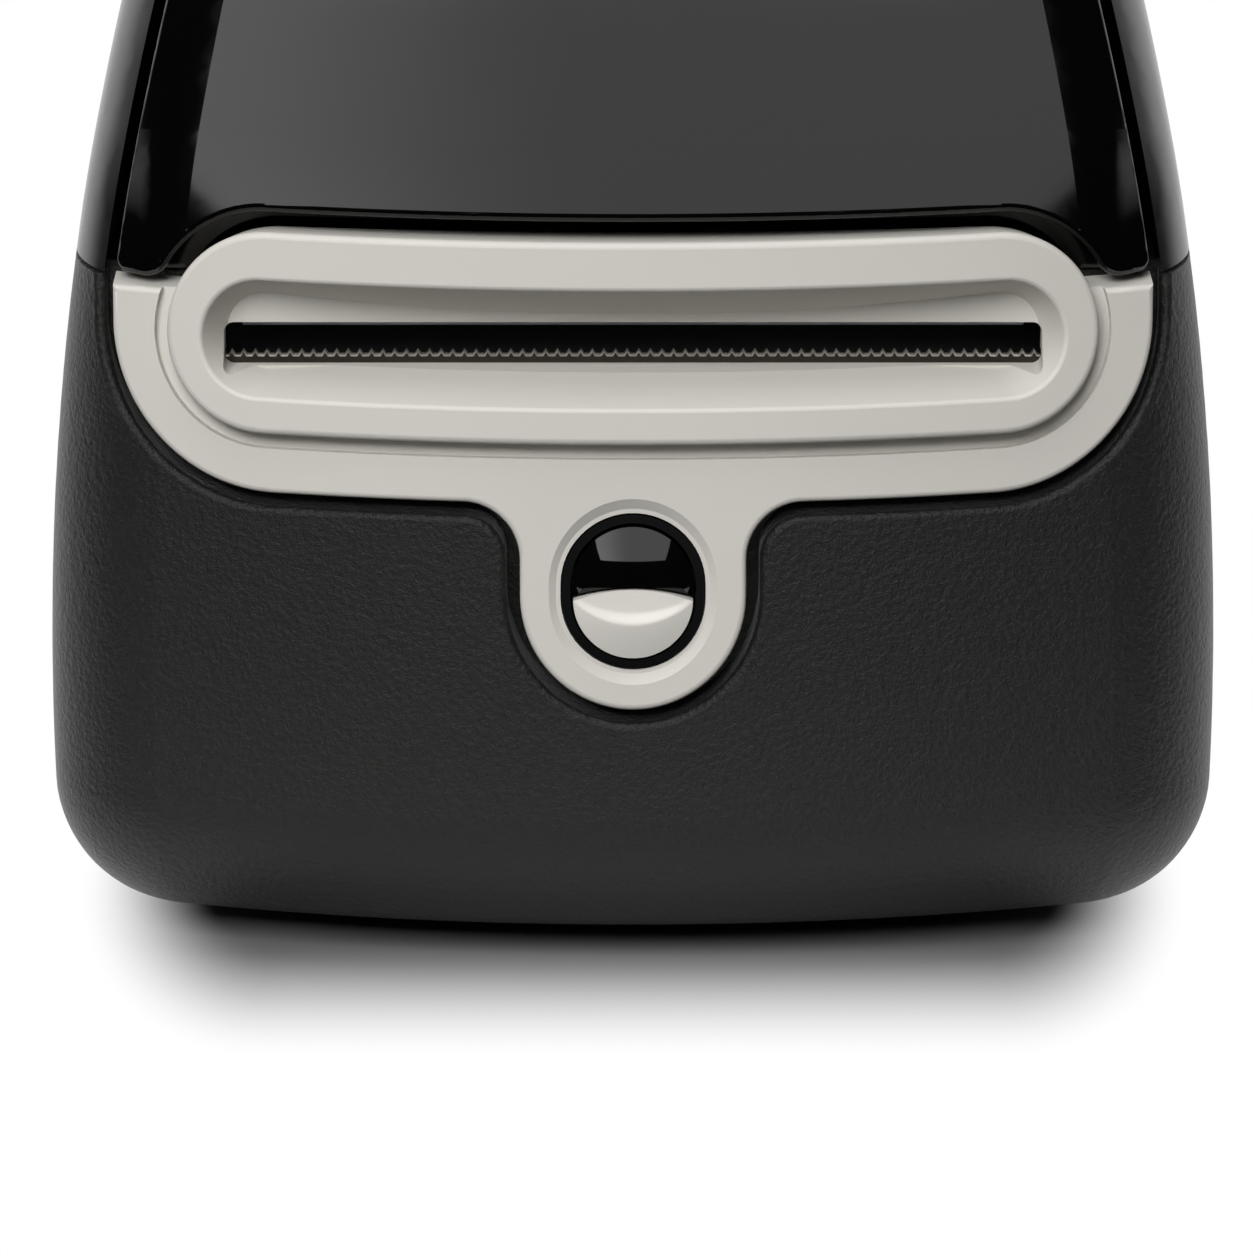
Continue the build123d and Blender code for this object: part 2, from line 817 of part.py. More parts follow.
with BuildPart() as lid_ribs:
    with Locations((-lid_rib_x, 0, 0), (lid_rib_x, 0, 0)):
        Box(lid_rib, far, far)
    add(skin(lid_wall / 2), mode=Mode.INTERSECT)
    add(skin(lid_rib_depth), mode=Mode.SUBTRACT)

with BuildPart() as lid_dust_lip:
    with Locations((0, lid_lip_y, lid_low_z)):
        Box(
            2 * notch_half_length,
            lid_lip,
            body_height,
            align=(Align.CENTER, Align.MIN, Align.MIN),
        )
    add(skin(lid_wall / 2), mode=Mode.INTERSECT)

with BuildPart() as top_lid:
    add(outer_skin)
    add(skin(lid_wall), mode=Mode.SUBTRACT)
    add(lid_ribs.part)
    add(lid_form.part, mode=Mode.INTERSECT)
    with Locations((0, hinge_y - hinge_swing - hinge_trough_wall - lid_seam, hinge_z + lid_seam)):
        Box(far, far, far, align=(Align.CENTER, Align.MIN, Align.MAX), mode=Mode.SUBTRACT)
    add(lid_dust_lip.part)
    for side in (-1, 1):
        with Locations((side * (knuckle_inner_x + knuckle_length / 2), hinge_y, hinge_z + lid_seam)):
            Box(
                knuckle_length,
                hinge_inset - wall / 2,
                hinge_web,
                align=(Align.CENTER, Align.MIN, Align.MIN),
            )
        with Locations(Location((side * knuckle_inner_x, hinge_y, hinge_z), (0, 90 * side, 0))):
            Cylinder(hinge_barrel, knuckle_length, align=(Align.CENTER, Align.CENTER, Align.MIN))
            Cylinder(
                hinge_pin_radius + hinge_fit,
                knuckle_length,
                align=(Align.CENTER, Align.CENTER, Align.MIN),
                mode=Mode.SUBTRACT,
            )
        with Locations(Location((side * (boss_start - knuckle_gap), hinge_y, hinge_z), (0, 90 * side, 0))):
            Cylinder(
                hinge_swing,
                knuckle_length + 2 * knuckle_gap,
                align=(Align.CENTER, Align.CENTER, Align.MIN),
                mode=Mode.SUBTRACT,
            )
top_lid.part.label = "top_lid"
export_step(top_lid.part, "parts/top_lid.step")

# Front trim: light U-shaped bezel with a round tongue, a groove round the mouth and a button dish
with BuildPart() as trim_hollow:
    extrude(trim_outline(-trim_skirt, -trim_skirt, parting_z - trim_arm_drop - trim_skirt), amount=far)
    add(front_form(trim_face), mode=Mode.INTERSECT)
    add(
        face_band(
            mouth_z,
            mouth_half_length + groove_width + trim_skirt,
            mouth_half_height + groove_width + trim_skirt,
            mouth_half_height + groove_width + trim_skirt,
            cut_reach,
            -cut_reach,
        ),
        mode=Mode.SUBTRACT,
    )
    with BuildSketch(face_plane(button_z, 0)):
        add(long_round(ring_radius + trim_skirt))
    extrude(amount=-cut_reach, mode=Mode.SUBTRACT)

with BuildPart() as front_trim:
    extrude(trim_outline(0, 0, parting_z - trim_arm_drop), amount=far)
    add(face_cone, mode=Mode.INTERSECT)
    add(pocket_cone, mode=Mode.SUBTRACT)
    rim = front_trim.faces().filter_by(lambda face: face.geom_type == GeomType.CONE).sort_by(Axis.Y)[0]
    fillet(rim.edges(), trim_edge_round)
    add(
        face_band(
            mouth_z,
            mouth_half_length + groove_width,
            mouth_half_height + groove_width,
            mouth_half_height + groove_width,
            cut_reach,
            -groove_depth,
        ),
        mode=Mode.SUBTRACT,
    )
    add(mouth_outline, mode=Mode.SUBTRACT)
    with BuildSketch(face_plane(button_z, 0)):
        add(long_round(dish_radius))
    extrude(amount=-dish_depth, taper=dish_slope, mode=Mode.SUBTRACT)
    with BuildSketch(face_plane(button_z, trim_depth)):
        add(long_round(ring_radius + mouth_fit))
    extrude(amount=-cut_reach, mode=Mode.SUBTRACT)
    add(trim_hollow.part, mode=Mode.SUBTRACT)
front_trim.part.label = "front_trim"
export_step(front_trim.part, "parts/front_trim.step")

# Where the tear bar stands
tear_top_z = slot_low_z + tear_rise
tear_half = tear_pitch * tear_teeth / 2

# Exit mouth: round-ended ring standing proud of the trim, flared inwards to the straight label slot
with BuildPart() as mouth_flare:
    add(
        face_band(
            mouth_z - mouth_rim_drop,
            recess_half_length,
            recess_half_height,
            slot_height / 2,
            mouth_proud,
            -recess_depth,
        )
    )
    with Locations((0, slot_plate_y, 0)):
        Box(far, far, far, align=(Align.CENTER, Align.MIN, Align.CENTER), mode=Mode.SUBTRACT)

with BuildPart() as mouth_core:
    add(
        face_band(
            mouth_z,
            mouth_half_length - mouth_wall,
            mouth_half_height - mouth_wall,
            mouth_half_height - mouth_wall,
            -mouth_wall,
            -cut_reach,
        )
    )
    add(
        face_band(
            mouth_z - mouth_rim_drop,
            recess_half_length + mouth_wall,
            recess_half_height + mouth_wall,
            slot_height / 2 + mouth_wall,
            mouth_proud,
            -recess_depth,
        ),
        mode=Mode.SUBTRACT,
    )
    with Locations((0, slot_plate_y, slot_low_z + slot_height / 2)):
        Box(
            2 * (slot_half_width + mouth_wall),
            far,
            slot_height + 2 * mouth_wall,
            align=(Align.CENTER, Align.MIN, Align.CENTER),
            mode=Mode.SUBTRACT,
        )

with BuildPart() as exit_mouth:
    add(face_band(mouth_z, mouth_half_length, mouth_half_height, mouth_half_height, cut_reach, -cut_reach))
    add(front_form(-mouth_proud), mode=Mode.INTERSECT)
    rim = exit_mouth.faces().sort_by(Axis.Y)[0]
    fillet(rim.edges(), mouth_edge_round)
    add(mouth_flare.part, mode=Mode.SUBTRACT)
    rim = exit_mouth.faces().filter_by(lambda face: len(face.inner_wires()) > 0)[0]
    fillet(rim.inner_wires()[0].edges(), mouth_lip_round)
    add(mouth_core.part, mode=Mode.SUBTRACT)
    with Locations((0, slot_plate_y + slot_plate, 0)):
        Box(far, far, far, align=(Align.CENTER, Align.MIN, Align.CENTER), mode=Mode.SUBTRACT)
    with BuildSketch(Plane.XZ.offset(-slot_plate_y)):
        with Locations((0, slot_low_z + slot_height / 2)):
            RectangleRounded(2 * slot_half_width, slot_height, slot_corner)
    extrude(amount=cut_reach / 2, both=True, mode=Mode.SUBTRACT)
    with Locations((0, slot_plate_y + slot_lip, tear_top_z)):
        Box(
            2 * (tear_half + tear_fit),
            cut_reach,
            tear_bar_height + tear_fit,
            align=(Align.CENTER, Align.MIN, Align.MAX),
            mode=Mode.SUBTRACT,
        )
exit_mouth.part.label = "exit_mouth"
export_step(exit_mouth.part, "parts/exit_mouth.step")

# Steel tear bar with pointed teeth, flat against the back of the slot's lower lip
with BuildPart() as tear_bar:
    with BuildSketch(Plane.XZ.offset(-slot_plate_y - slot_lip)):
        teeth_line = [
            (-tear_half, tear_top_z - tear_bar_height),
            (-tear_half, tear_top_z - tear_tooth_height),
        ]
        for tooth in range(tear_teeth):
            teeth_line.append((-tear_half + (tooth + 1 / 2) * tear_pitch, tear_top_z))
            teeth_line.append((-tear_half + (tooth + 1) * tear_pitch, tear_top_z - tear_tooth_height))
        teeth_line.append((tear_half, tear_top_z - tear_bar_height))
        Polygon(*teeth_line, align=None)
    extrude(amount=-tear_bar_thickness)
tear_bar.part.label = "tear_bar"
export_step(tear_bar.part, "parts/tear_bar.step")

# Black sleeve round the button and the lens, also the seat of the button board
board_depth = ring_sink + ring_length
with BuildPart() as button_ring:
    with BuildSketch(face_plane(button_z, -ring_sink)):
        add(long_round(ring_radius))
        add(long_round(ring_bore), mode=Mode.SUBTRACT)
    extrude(amount=-ring_length)
button_ring.part.label = "button_ring"
export_step(button_ring.part, "parts/button_ring.step")

# Domed status lens: the upper part of the round cap, wider behind so that it is held in the sleeve
with BuildPart() as status_lens:
    with BuildSketch(face_plane(button_z, cap_proud)):
        add(long_round(cap_radius))
        with Locations((0, split_rise - split_radius)):
            Circle(split_radius + split_gap, mode=Mode.SUBTRACT)
    extrude(amount=-cap_length - cap_proud)
    with Locations(face_plane(button_z, cap_proud - cap_dome)):
        with Locations((0, button_stretch / 2, 0)):
            Sphere(cap_dome, mode=Mode.INTERSECT)
    with BuildSketch(face_plane(button_z, -cap_length / 2)):
        add(long_round(ring_bore))
        with Locations((0, split_rise - split_radius)):
            Circle(split_radius + split_gap, mode=Mode.SUBTRACT)
    extrude(amount=-cap_length / 2)
status_lens.part.label = "status_lens"
export_step(status_lens.part, "parts/status_lens.step")

# Feed button: the lower part of the cap, with a scooped ledge and a short stem behind
stem_end = board_depth - switch_height - plunger_height - button_travel - switch_gap
with BuildPart() as feed_button:
    with BuildSketch(face_plane(button_z, cap_proud)):
        add(long_round(cap_radius))
        with Locations((0, split_rise - split_radius)):
            Circle(split_radius - split_gap, mode=Mode.INTERSECT)
    extrude(amount=-cap_length - cap_proud)
    with Locations(face_plane(button_z, cap_proud - cap_dome)):
        with Locations((0, button_stretch / 2, 0)):
            Sphere(cap_dome, mode=Mode.INTERSECT)
    with BuildSketch(face_plane(button_z, cap_proud)):
        with Locations((0, ledge_rise)):
            Circle(ledge_radius)
    extrude(amount=-ledge_depth, taper=ledge_slope, mode=Mode.SUBTRACT)
    with BuildSketch(face_plane(button_z, -cap_length)):
        with Locations((0, -switch_drop)):
            Circle(plunger_radius)
    extrude(amount=cap_length - stem_end)
feed_button.part.label = "feed_button"
export_step(feed_button.part, "parts/feed_button.step")

# Small board behind the sleeve
with BuildPart() as button_board:
    with BuildSketch(face_plane(button_z, -board_depth)):
        with Locations((0, button_stretch / 2)):
            RectangleRounded(button_board_width, button_board_height, board_thickness)
    extrude(amount=-board_thickness)
button_board.part.label = "button_board"
export_step(button_board.part, "parts/button_board.step")

# Push switch under the button stem
with BuildPart() as feed_switch:
    with BuildSketch(face_plane(button_z, -board_depth)):
        with Locations((0, -switch_drop)):
            Rectangle(switch_side, switch_side)
    extrude(amount=switch_height)
    with BuildSketch(face_plane(button_z, switch_height - board_depth)):
        with Locations((0, -switch_drop)):
            Circle(plunger_radius)
    extrude(amount=plunger_height)
feed_switch.part.label = "feed_switch"
export_step(feed_switch.part, "parts/feed_switch.step")

# Light-emitting diode behind the lens
with BuildPart() as status_led:
    with BuildSketch(face_plane(button_z, -board_depth)):
        with Locations((0, cap_radius / 2 + button_stretch)):
            Circle(led_radius)
    extrude(amount=led_height)
    fillet(status_led.edges().sort_by(Axis.Y)[0], led_radius / 2)
status_led.part.label = "status_led"
export_step(status_led.part, "parts/status_led.step")

# Roll tray: half-round trough, front deck, rear shelf and four legs that take the base screws
shelf_z = spool_z - tray_radius * sin(radians(tray_rear_angle))
shelf_front_y = spool_y + tray_radius * cos(radians(tray_rear_angle))
shelf_rear_y = rear_y - wall - shelf_rear_gap
deck_rear_y = spool_y - sqrt(tray_radius**2 - (spool_z - deck_z) ** 2)
tray_reach = 2 * tray_radius
with BuildPart() as roll_tray:
    with BuildSketch(Plane.YZ):
        with Locations((spool_y, spool_z)):
            Circle(tray_radius + tray_wall)
            Circle(tray_radius, mode=Mode.SUBTRACT)
        Polygon(
            (spool_y - tray_reach, deck_z),
            (spool_y - tray_reach, spool_z - tray_reach),
            (spool_y + tray_reach, spool_z - tray_reach),
            (spool_y + tray_reach, shelf_z),
            (spool_y, shelf_z),
            (spool_y, deck_z),
            align=None,
            mode=Mode.INTERSECT,
        )
        with Locations((deck_front_y, deck_z)):
            Rectangle(deck_rear_y - deck_front_y, tray_wall, align=(Align.MIN, Align.MAX))
        with Locations((shelf_front_y, shelf_z)):
            Rectangle(shelf_rear_y - shelf_front_y, tray_wall, align=(Align.MIN, Align.MAX))
    extrude(amount=tray_half_length, both=True)
    with Locations(*[(x, y, floor_z) for x in (-screw_x, screw_x) for y in (screw_front_y, screw_rear_y)]):
        Cylinder(leg_radius, spool_z - floor_z, align=(Align.CENTER, Align.CENTER, Align.MIN))
    with Locations(Location((0, spool_y, spool_z), (0, 90, 0))):
        Cylinder(tray_radius, far, mode=Mode.SUBTRACT)
    with Locations(*[(x, y, floor_z) for x in (-screw_x, screw_x) for y in (screw_front_y, screw_rear_y)]):
        Cylinder(
            screw_radius,
            screw_length,
            align=(Align.CENTER, Align.CENTER, Align.MIN),
            mode=Mode.SUBTRACT,
        )
    add(skin(wall + shelf_rear_gap), mode=Mode.INTERSECT)
    for side in (-1, 1):
        with Locations((side * (frame_x - frame_notch), frame_rear_y + frame_notch, deck_z)):
            Box(
                2 * frame_foot,
                far,
                4 * tray_wall,
                align=(Align.MIN if side > 0 else Align.MAX, Align.MAX, Align.CENTER),
                mode=Mode.SUBTRACT,
            )
    with Locations((sensor_x, sensor_y, deck_z)):
        Cylinder(sensor_window, 4 * tray_wall, mode=Mode.SUBTRACT)
roll_tray.part.label = "roll_tray"
export_step(roll_tray.part, "parts/roll_tray.step")

# Reflective sensor that finds the gap between two labels, under the deck
with BuildPart() as label_sensor:
    with Locations((sensor_x, sensor_y, deck_z - tray_wall)):
        Box(sensor_width, sensor_depth, sensor_height, align=(Align.CENTER, Align.CENTER, Align.MAX))
        Cylinder(sensor_window - running_fit, tray_wall, align=(Align.CENTER, Align.CENTER, Align.MIN))
label_sensor.part.label = "label_sensor"
export_step(label_sensor.part, "parts/label_sensor.step")


def spool_bracket(start_x):
    """Upright bracket in the trough with an open-topped bearing slot for one spool journal."""
    with BuildPart() as bracket:
        with BuildSketch(Plane.YZ.offset(start_x)):
            with Locations((spool_y, spool_z + bracket_rise)):
                Rectangle(2 * bracket_half_depth, tray_reach, align=(Align.CENTER, Align.MAX))
            with Locations((spool_y, spool_z)):
                Circle(tray_radius, mode=Mode.INTERSECT)
                Circle(journal_radius + spool_fit, mode=Mode.SUBTRACT)
                Rectangle(
                    2 * (journal_radius + spool_fit),
                    tray_reach,
                    align=(Align.CENTER, Align.MIN),
                    mode=Mode.SUBTRACT,
                )
        extrude(amount=bracket_wall)
    return bracket.part


# The two brackets that carry the spool
with BuildPart() as spool_bracket_left:
    add(spool_bracket(-bracket_x - bracket_wall))
spool_bracket_left.part.label = "spool_bracket_left"
export_step(spool_bracket_left.part, "parts/spool_bracket_left.step")

with BuildPart() as spool_bracket_right:
    add(spool_bracket(bracket_x))
spool_bracket_right.part.label = "spool_bracket_right"
export_step(spool_bracket_right.part, "parts/spool_bracket_right.step")


def barrel(centre_y, centre_z, start_x, end_x, radius):
    """A cylinder lying along X from start_x to end_x."""
    with BuildPart() as rod:
        with BuildSketch(Plane.YZ.offset(start_x)):
            with Locations((centre_y, centre_z)):
                Circle(radius)
        extrude(amount=end_x - start_x)
    return rod.part


# Spool: hollow spindle with one fixed flange, two collars and two journals
journal_end = bracket_x + bracket_wall + journal_overrun
flange_x = -roll_half_width - collar_gap / 2
collar_x = bracket_x - collar_gap
with BuildPart() as spool_spindle:
    add(barrel(spool_y, spool_z, flange_x, spindle_end_x, spindle_radius))
    add(
        barrel(spool_y, spool_z, flange_x + spool_flange, spindle_end_x, spindle_radius - spindle_wall),
        mode=Mode.SUBTRACT,
    )
    add(barrel(spool_y, spool_z, flange_x - spool_flange, flange_x, spool_flange_radius))
    add(barrel(spool_y, spool_z, -collar_x, collar_x, collar_radius))
    add(barrel(spool_y, spool_z, -journal_end, journal_end, journal_radius))
spool_spindle.part.label = "spool_spindle"
export_step(spool_spindle.part, "parts/spool_spindle.step")

# Cardboard core of the roll
core_bore = spindle_radius + spool_fit
with BuildPart() as roll_core:
    add(barrel(spool_y, spool_z, -roll_half_width, roll_half_width, core_bore + core_wall))
    add(barrel(spool_y, spool_z, -roll_half_width, roll_half_width, core_bore), mode=Mode.SUBTRACT)
roll_core.part.label = "roll_core"
export_step(roll_core.part, "parts/roll_core.step")

# Roll of blank labels wound on the core
with BuildPart() as label_roll:
    add(barrel(spool_y, spool_z, -roll_half_width, roll_half_width, roll_radius))
    add(
        barrel(spool_y, spool_z, -roll_half_width, roll_half_width, core_bore + core_wall),
        mode=Mode.SUBTRACT,
    )
label_roll.part.label = "label_roll"
export_step(label_roll.part, "parts/label_roll.step")

# Sliding guide that closes the roll in from the right
guide_x = roll_half_width + collar_gap / 2
guide_end_x = guide_x + guide_disc + guide_hub_length
with BuildPart() as guide_ring:
    add(barrel(spool_y, spool_z, guide_x, guide_x + guide_disc, spool_flange_radius))
    add(barrel(spool_y, spool_z, guide_x, guide_end_x, guide_hub_radius))
    add(barrel(spool_y, spool_z, guide_x, guide_end_x, core_bore), mode=Mode.SUBTRACT)
guide_ring.part.label = "guide_ring"
export_step(guide_ring.part, "parts/guide_ring.step")


def frame_plate(start_x, foot_start_x):
    """One upright steel side plate of the print mechanism with its bent foot."""
    with BuildPart() as plate:
        with BuildSketch(Plane.YZ.offset(start_x)) as face:
            with Locations((frame_front_y, floor_z)):
                Rectangle(
                    frame_rear_y - frame_front_y,
                    frame_top_z - floor_z,
                    align=(Align.MIN, Align.MIN),
                )
            fillet(face.vertices().group_by(Axis.Y)[-1], frame_corner)
            with Locations((platen_y, platen_z)):
                Circle(bush_radius, mode=Mode.SUBTRACT)
            with Locations((head_pivot_y, head_pivot_z)):
                Circle(head_rod_radius, mode=Mode.SUBTRACT)
        extrude(amount=frame_wall)
        with Locations((foot_start_x, frame_front_y, floor_z)):
            Box(
                frame_foot,
                frame_rear_y - frame_front_y,
                frame_wall,
                align=(Align.MIN, Align.MIN, Align.MIN),
            )
    return plate.part


# Left side plate
with BuildPart() as frame_left:
    add(frame_plate(-frame_outer_x, -frame_outer_x))
frame_left.part.label = "frame_left"
export_step(frame_left.part, "parts/frame_left.step")

# Right side plate, widened round the motor and bored for the idler stud
with BuildPart() as frame_right:
    add(frame_plate(frame_x, frame_outer_x - frame_foot))
    add(barrel(motor_y, motor_z, frame_x, frame_outer_x, motor_wing_radius))
    add(barrel(motor_y, motor_z, frame_x, frame_outer_x, motor_boss_radius), mode=Mode.SUBTRACT)
    add(barrel(idler_y, idler_z, frame_x, frame_outer_x, stud_radius), mode=Mode.SUBTRACT)
    for turn in (-1, 1):
        add(
            barrel(
                motor_y,
                motor_z + turn * motor_screw_reach,
                frame_x,
                frame_outer_x,
                motor_screw_radius,
            ),
            mode=Mode.SUBTRACT,
        )
frame_right.part.label = "frame_right"
export_step(frame_right.part, "parts/frame_right.step")

# Cross bar between the plates that backs the pressure spring
with BuildPart() as head_bridge:
    with Locations((0, bridge_y, bridge_z)):
        Box(2 * frame_x, bridge_depth, bridge_height, align=(Align.CENTER, Align.CENTER, Align.MIN))
head_bridge.part.label = "head_bridge"
export_step(head_bridge.part, "parts/head_bridge.step")

# Rod that the print head swings on
with BuildPart() as head_rod:
    add(barrel(head_pivot_y, head_pivot_z, -frame_outer_x, frame_outer_x, head_rod_radius))
head_rod.part.label = "head_rod"
export_step(head_rod.part, "parts/head_rod.step")

# Two flanged bushes of the platen shaft
with BuildPart() as platen_bushes:
    for side in (-1, 1):
        inner_x = side * (frame_x - bush_flange)
        add(barrel(platen_y, platen_z, side * frame_x, side * frame_outer_x, bush_radius))
        add(barrel(platen_y, platen_z, inner_x, side * frame_x, bush_flange_radius))
        add(
            barrel(platen_y, platen_z, inner_x, side * frame_outer_x, platen_shaft_radius + running_fit),
            mode=Mode.SUBTRACT,
        )
platen_bushes.part.label = "platen_bushes"
export_step(platen_bushes.part, "parts/platen_bushes.step")

# Platen: steel shaft, rubber sleeve and its gear
with BuildPart() as platen_shaft:
    add(
        barrel(
            platen_y,
            platen_z,
            -frame_outer_x - shaft_overrun,
            gear_one_x + gear_width + shaft_overrun,
            platen_shaft_radius,
        )
    )
platen_shaft.part.label = "platen_shaft"
export_step(platen_shaft.part, "parts/platen_shaft.step")

with BuildPart() as platen_rubber:
    add(barrel(platen_y, platen_z, -platen_half_length, platen_half_length, platen_radius))
    add(
        barrel(platen_y, platen_z, -platen_half_length, platen_half_length, platen_shaft_radius),
        mode=Mode.SUBTRACT,
    )
platen_rubber.part.label = "platen_rubber"
export_step(platen_rubber.part, "parts/platen_rubber.step")

with BuildPart() as platen_gear:
    with BuildSketch(Plane.YZ.offset(gear_one_x)):
        with Locations((platen_y, platen_z)):
            add(gear_profile(platen_teeth, idler_angle))
            Circle(platen_shaft_radius, mode=Mode.SUBTRACT)
    extrude(amount=gear_width)
platen_gear.part.label = "platen_gear"
export_step(platen_gear.part, "parts/platen_gear.step")

# Two-step idler gear: the small step drives the platen, the large step is driven by the motor
idler_small_phase = idler_angle + 180 - 180 / idler_small_teeth
with BuildPart() as idler_gear:
    with BuildSketch(Plane.YZ.offset(gear_one_x)):
        with Locations((idler_y, idler_z)):
            add(gear_profile(idler_small_teeth, idler_small_phase))
            Circle(stud_radius + running_fit, mode=Mode.SUBTRACT)
    extrude(amount=gear_width + gear_step)
    with BuildSketch(Plane.YZ.offset(gear_two_x)):
        with Locations((idler_y, idler_z)):
            add(gear_profile(idler_teeth, motor_angle))
            Circle(stud_radius + running_fit, mode=Mode.SUBTRACT)
    extrude(amount=gear_width)
idler_gear.part.label = "idler_gear"
export_step(idler_gear.part, "parts/idler_gear.step")

# Shouldered stud of the idler, riveted into the right plate
stud_end_x = gear_two_x + gear_width + running_fit
with BuildPart() as idler_stud:
    add(barrel(idler_y, idler_z, frame_x, stud_end_x, stud_radius))
    add(barrel(idler_y, idler_z, frame_outer_x, gear_one_x - running_fit, stud_head_radius))
    add(barrel(idler_y, idler_z, stud_end_x, stud_end_x + stud_head, stud_head_radius))
idler_stud.part.label = "idler_stud"
export_step(idler_stud.part, "parts/idler_stud.step")

# Stepper motor inside the right plate
shaft_start_x = frame_x - motor_shaft_depth
with BuildPart() as stepper_motor:
    add(barrel(motor_y, motor_z, frame_x - motor_length, frame_x, motor_radius))
    add(barrel(motor_y, motor_z, frame_x, frame_outer_x, motor_boss_radius))
    add(
        barrel(
            motor_y,
            motor_z,
            shaft_start_x - collar_gap,
            frame_outer_x,
            motor_shaft_radius + running_fit,
        ),
        mode=Mode.SUBTRACT,
    )
    for turn in (-1, 1):
        add(
            barrel(
                motor_y,
                motor_z + turn * motor_screw_reach,
                frame_x - motor_screw_depth,
                frame_x,
                motor_screw_radius,
            ),
            mode=Mode.SUBTRACT,
        )
stepper_motor.part.label = "stepper_motor"
export_step(stepper_motor.part, "parts/stepper_motor.step")

# Two low-headed screws that hold the motor
with BuildPart() as motor_screws:
    for turn in (-1, 1):
        screw_z = motor_z + turn * motor_screw_reach
        add(barrel(motor_y, screw_z, frame_x - motor_screw_depth, frame_outer_x, motor_screw_radius))
        add(
            barrel(
                motor_y,
                screw_z,
                frame_outer_x,
                frame_outer_x + motor_screw_head,
                motor_screw_head_radius,
            )
        )
motor_screws.part.label = "motor_screws"
export_step(motor_screws.part, "parts/motor_screws.step")

# Motor shaft with its pressed-on pinion
with BuildPart() as motor_shaft:
    add(
        barrel(
            motor_y,
            motor_z,
            shaft_start_x,
            gear_two_x + gear_width + shaft_overrun,
            motor_shaft_radius,
        )
    )
motor_shaft.part.label = "motor_shaft"
export_step(motor_shaft.part, "parts/motor_shaft.step")

with BuildPart() as motor_pinion:
    with BuildSketch(Plane.YZ.offset(gear_two_x)):
        with Locations((motor_y, motor_z)):
            add(gear_profile(pinion_teeth, motor_angle + 180 - 180 / pinion_teeth))
            Circle(motor_shaft_radius, mode=Mode.SUBTRACT)
    extrude(amount=gear_width)
motor_pinion.part.label = "motor_pinion"
export_step(motor_pinion.part, "parts/motor_pinion.step")

# Head carrier: flat plate over the platen with two arms back to the rod
with BuildPart() as head_carrier:
    with Locations((0, head_front_y, carrier_z)):
        Box(
            2 * head_half_length,
            head_rear_y - head_front_y,
            carrier_thickness,
            align=(Align.CENTER, Align.MIN, Align.MIN),
        )
    arm_half = carrier_hub * sqrt(1 / 2)
    for start_x in (-carrier_arm_x - carrier_arm / 2, carrier_arm_x - carrier_arm / 2):
        with BuildSketch(Plane.YZ.offset(start_x)):
            Polygon(
                (head_rear_y - 2 * carrier_hub, carrier_z),
                (head_rear_y, carrier_z),
                (head_pivot_y + arm_half, head_pivot_z - arm_half),
                (head_pivot_y - arm_half, head_pivot_z + arm_half),
                align=None,
            )
            with Locations((head_pivot_y, head_pivot_z)):
                Circle(carrier_hub)
                Circle(head_rod_radius + running_fit, mode=Mode.SUBTRACT)
        extrude(amount=carrier_arm)
head_carrier.part.label = "head_carrier"
export_step(head_carrier.part, "parts/head_carrier.step")

# Thermal strip under the carrier, just clear of the platen
with BuildPart() as thermal_head:
    with Locations((0, platen_y, head_low_z)):
        Box(
            2 * head_half_length,
            head_strip_depth,
            head_strip,
            align=(Align.CENTER, Align.CENTER, Align.MIN),
        )
thermal_head.part.label = "thermal_head"
export_step(thermal_head.part, "parts/thermal_head.step")

# Release lever on the left end of the carrier, with a finger pad on top
lever_lean = radians(lever_tilt)
lever_top_y = head_pivot_y + lever_height * sin(lever_lean)
lever_top_z = head_pivot_z + lever_height * cos(lever_lean)
lever_across = lever_width / 2 * cos(lever_lean)
lever_down = lever_width / 2 * sin(lever_lean)
with BuildPart() as release_lever:
    with BuildSketch(Plane.YZ.offset(lever_x)):
        with Locations((head_pivot_y, head_pivot_z)):
            Circle(lever_hub)
            Circle(head_rod_radius + running_fit, mode=Mode.SUBTRACT)
    extrude(amount=lever_thickness)
    with BuildSketch(Plane.YZ.offset(lever_x)):
        Polygon(
            (head_pivot_y - lever_hub * cos(lever_lean), head_pivot_z + lever_hub * sin(lever_lean)),
            (head_pivot_y + lever_hub * cos(lever_lean), head_pivot_z - lever_hub * sin(lever_lean)),
            (lever_top_y + lever_across, lever_top_z - lever_down),
            (lever_top_y - lever_across, lever_top_z + lever_down),
            align=None,
        )
        with Locations((head_pivot_y, head_pivot_z)):
            Circle(head_rod_radius + running_fit, mode=Mode.SUBTRACT)
    extrude(amount=lever_thickness)
    with Locations(Location((lever_x, lever_top_y, lever_top_z), (-lever_tilt, 0, 0))):
        Box(
            lever_pad_length,
            lever_pad_width,
            lever_thickness,
            align=(Align.MIN, Align.CENTER, Align.MIN),
        )
    with BuildSketch(Plane.YZ.offset(lever_x)):
        Polygon(
            (head_rear_y - 2 * carrier_hub, carrier_z),
            (head_rear_y, carrier_z),
            (head_pivot_y + lever_hub / 2, head_pivot_z - lever_hub / 2),
            (head_pivot_y - lever_hub, head_pivot_z),
            align=None,
        )
        with Locations((head_pivot_y, head_pivot_z)):
            Circle(head_rod_radius + running_fit, mode=Mode.SUBTRACT)
    extrude(amount=-head_half_length - lever_x)
release_lever.part.label = "release_lever"
export_step(release_lever.part, "parts/release_lever.step")

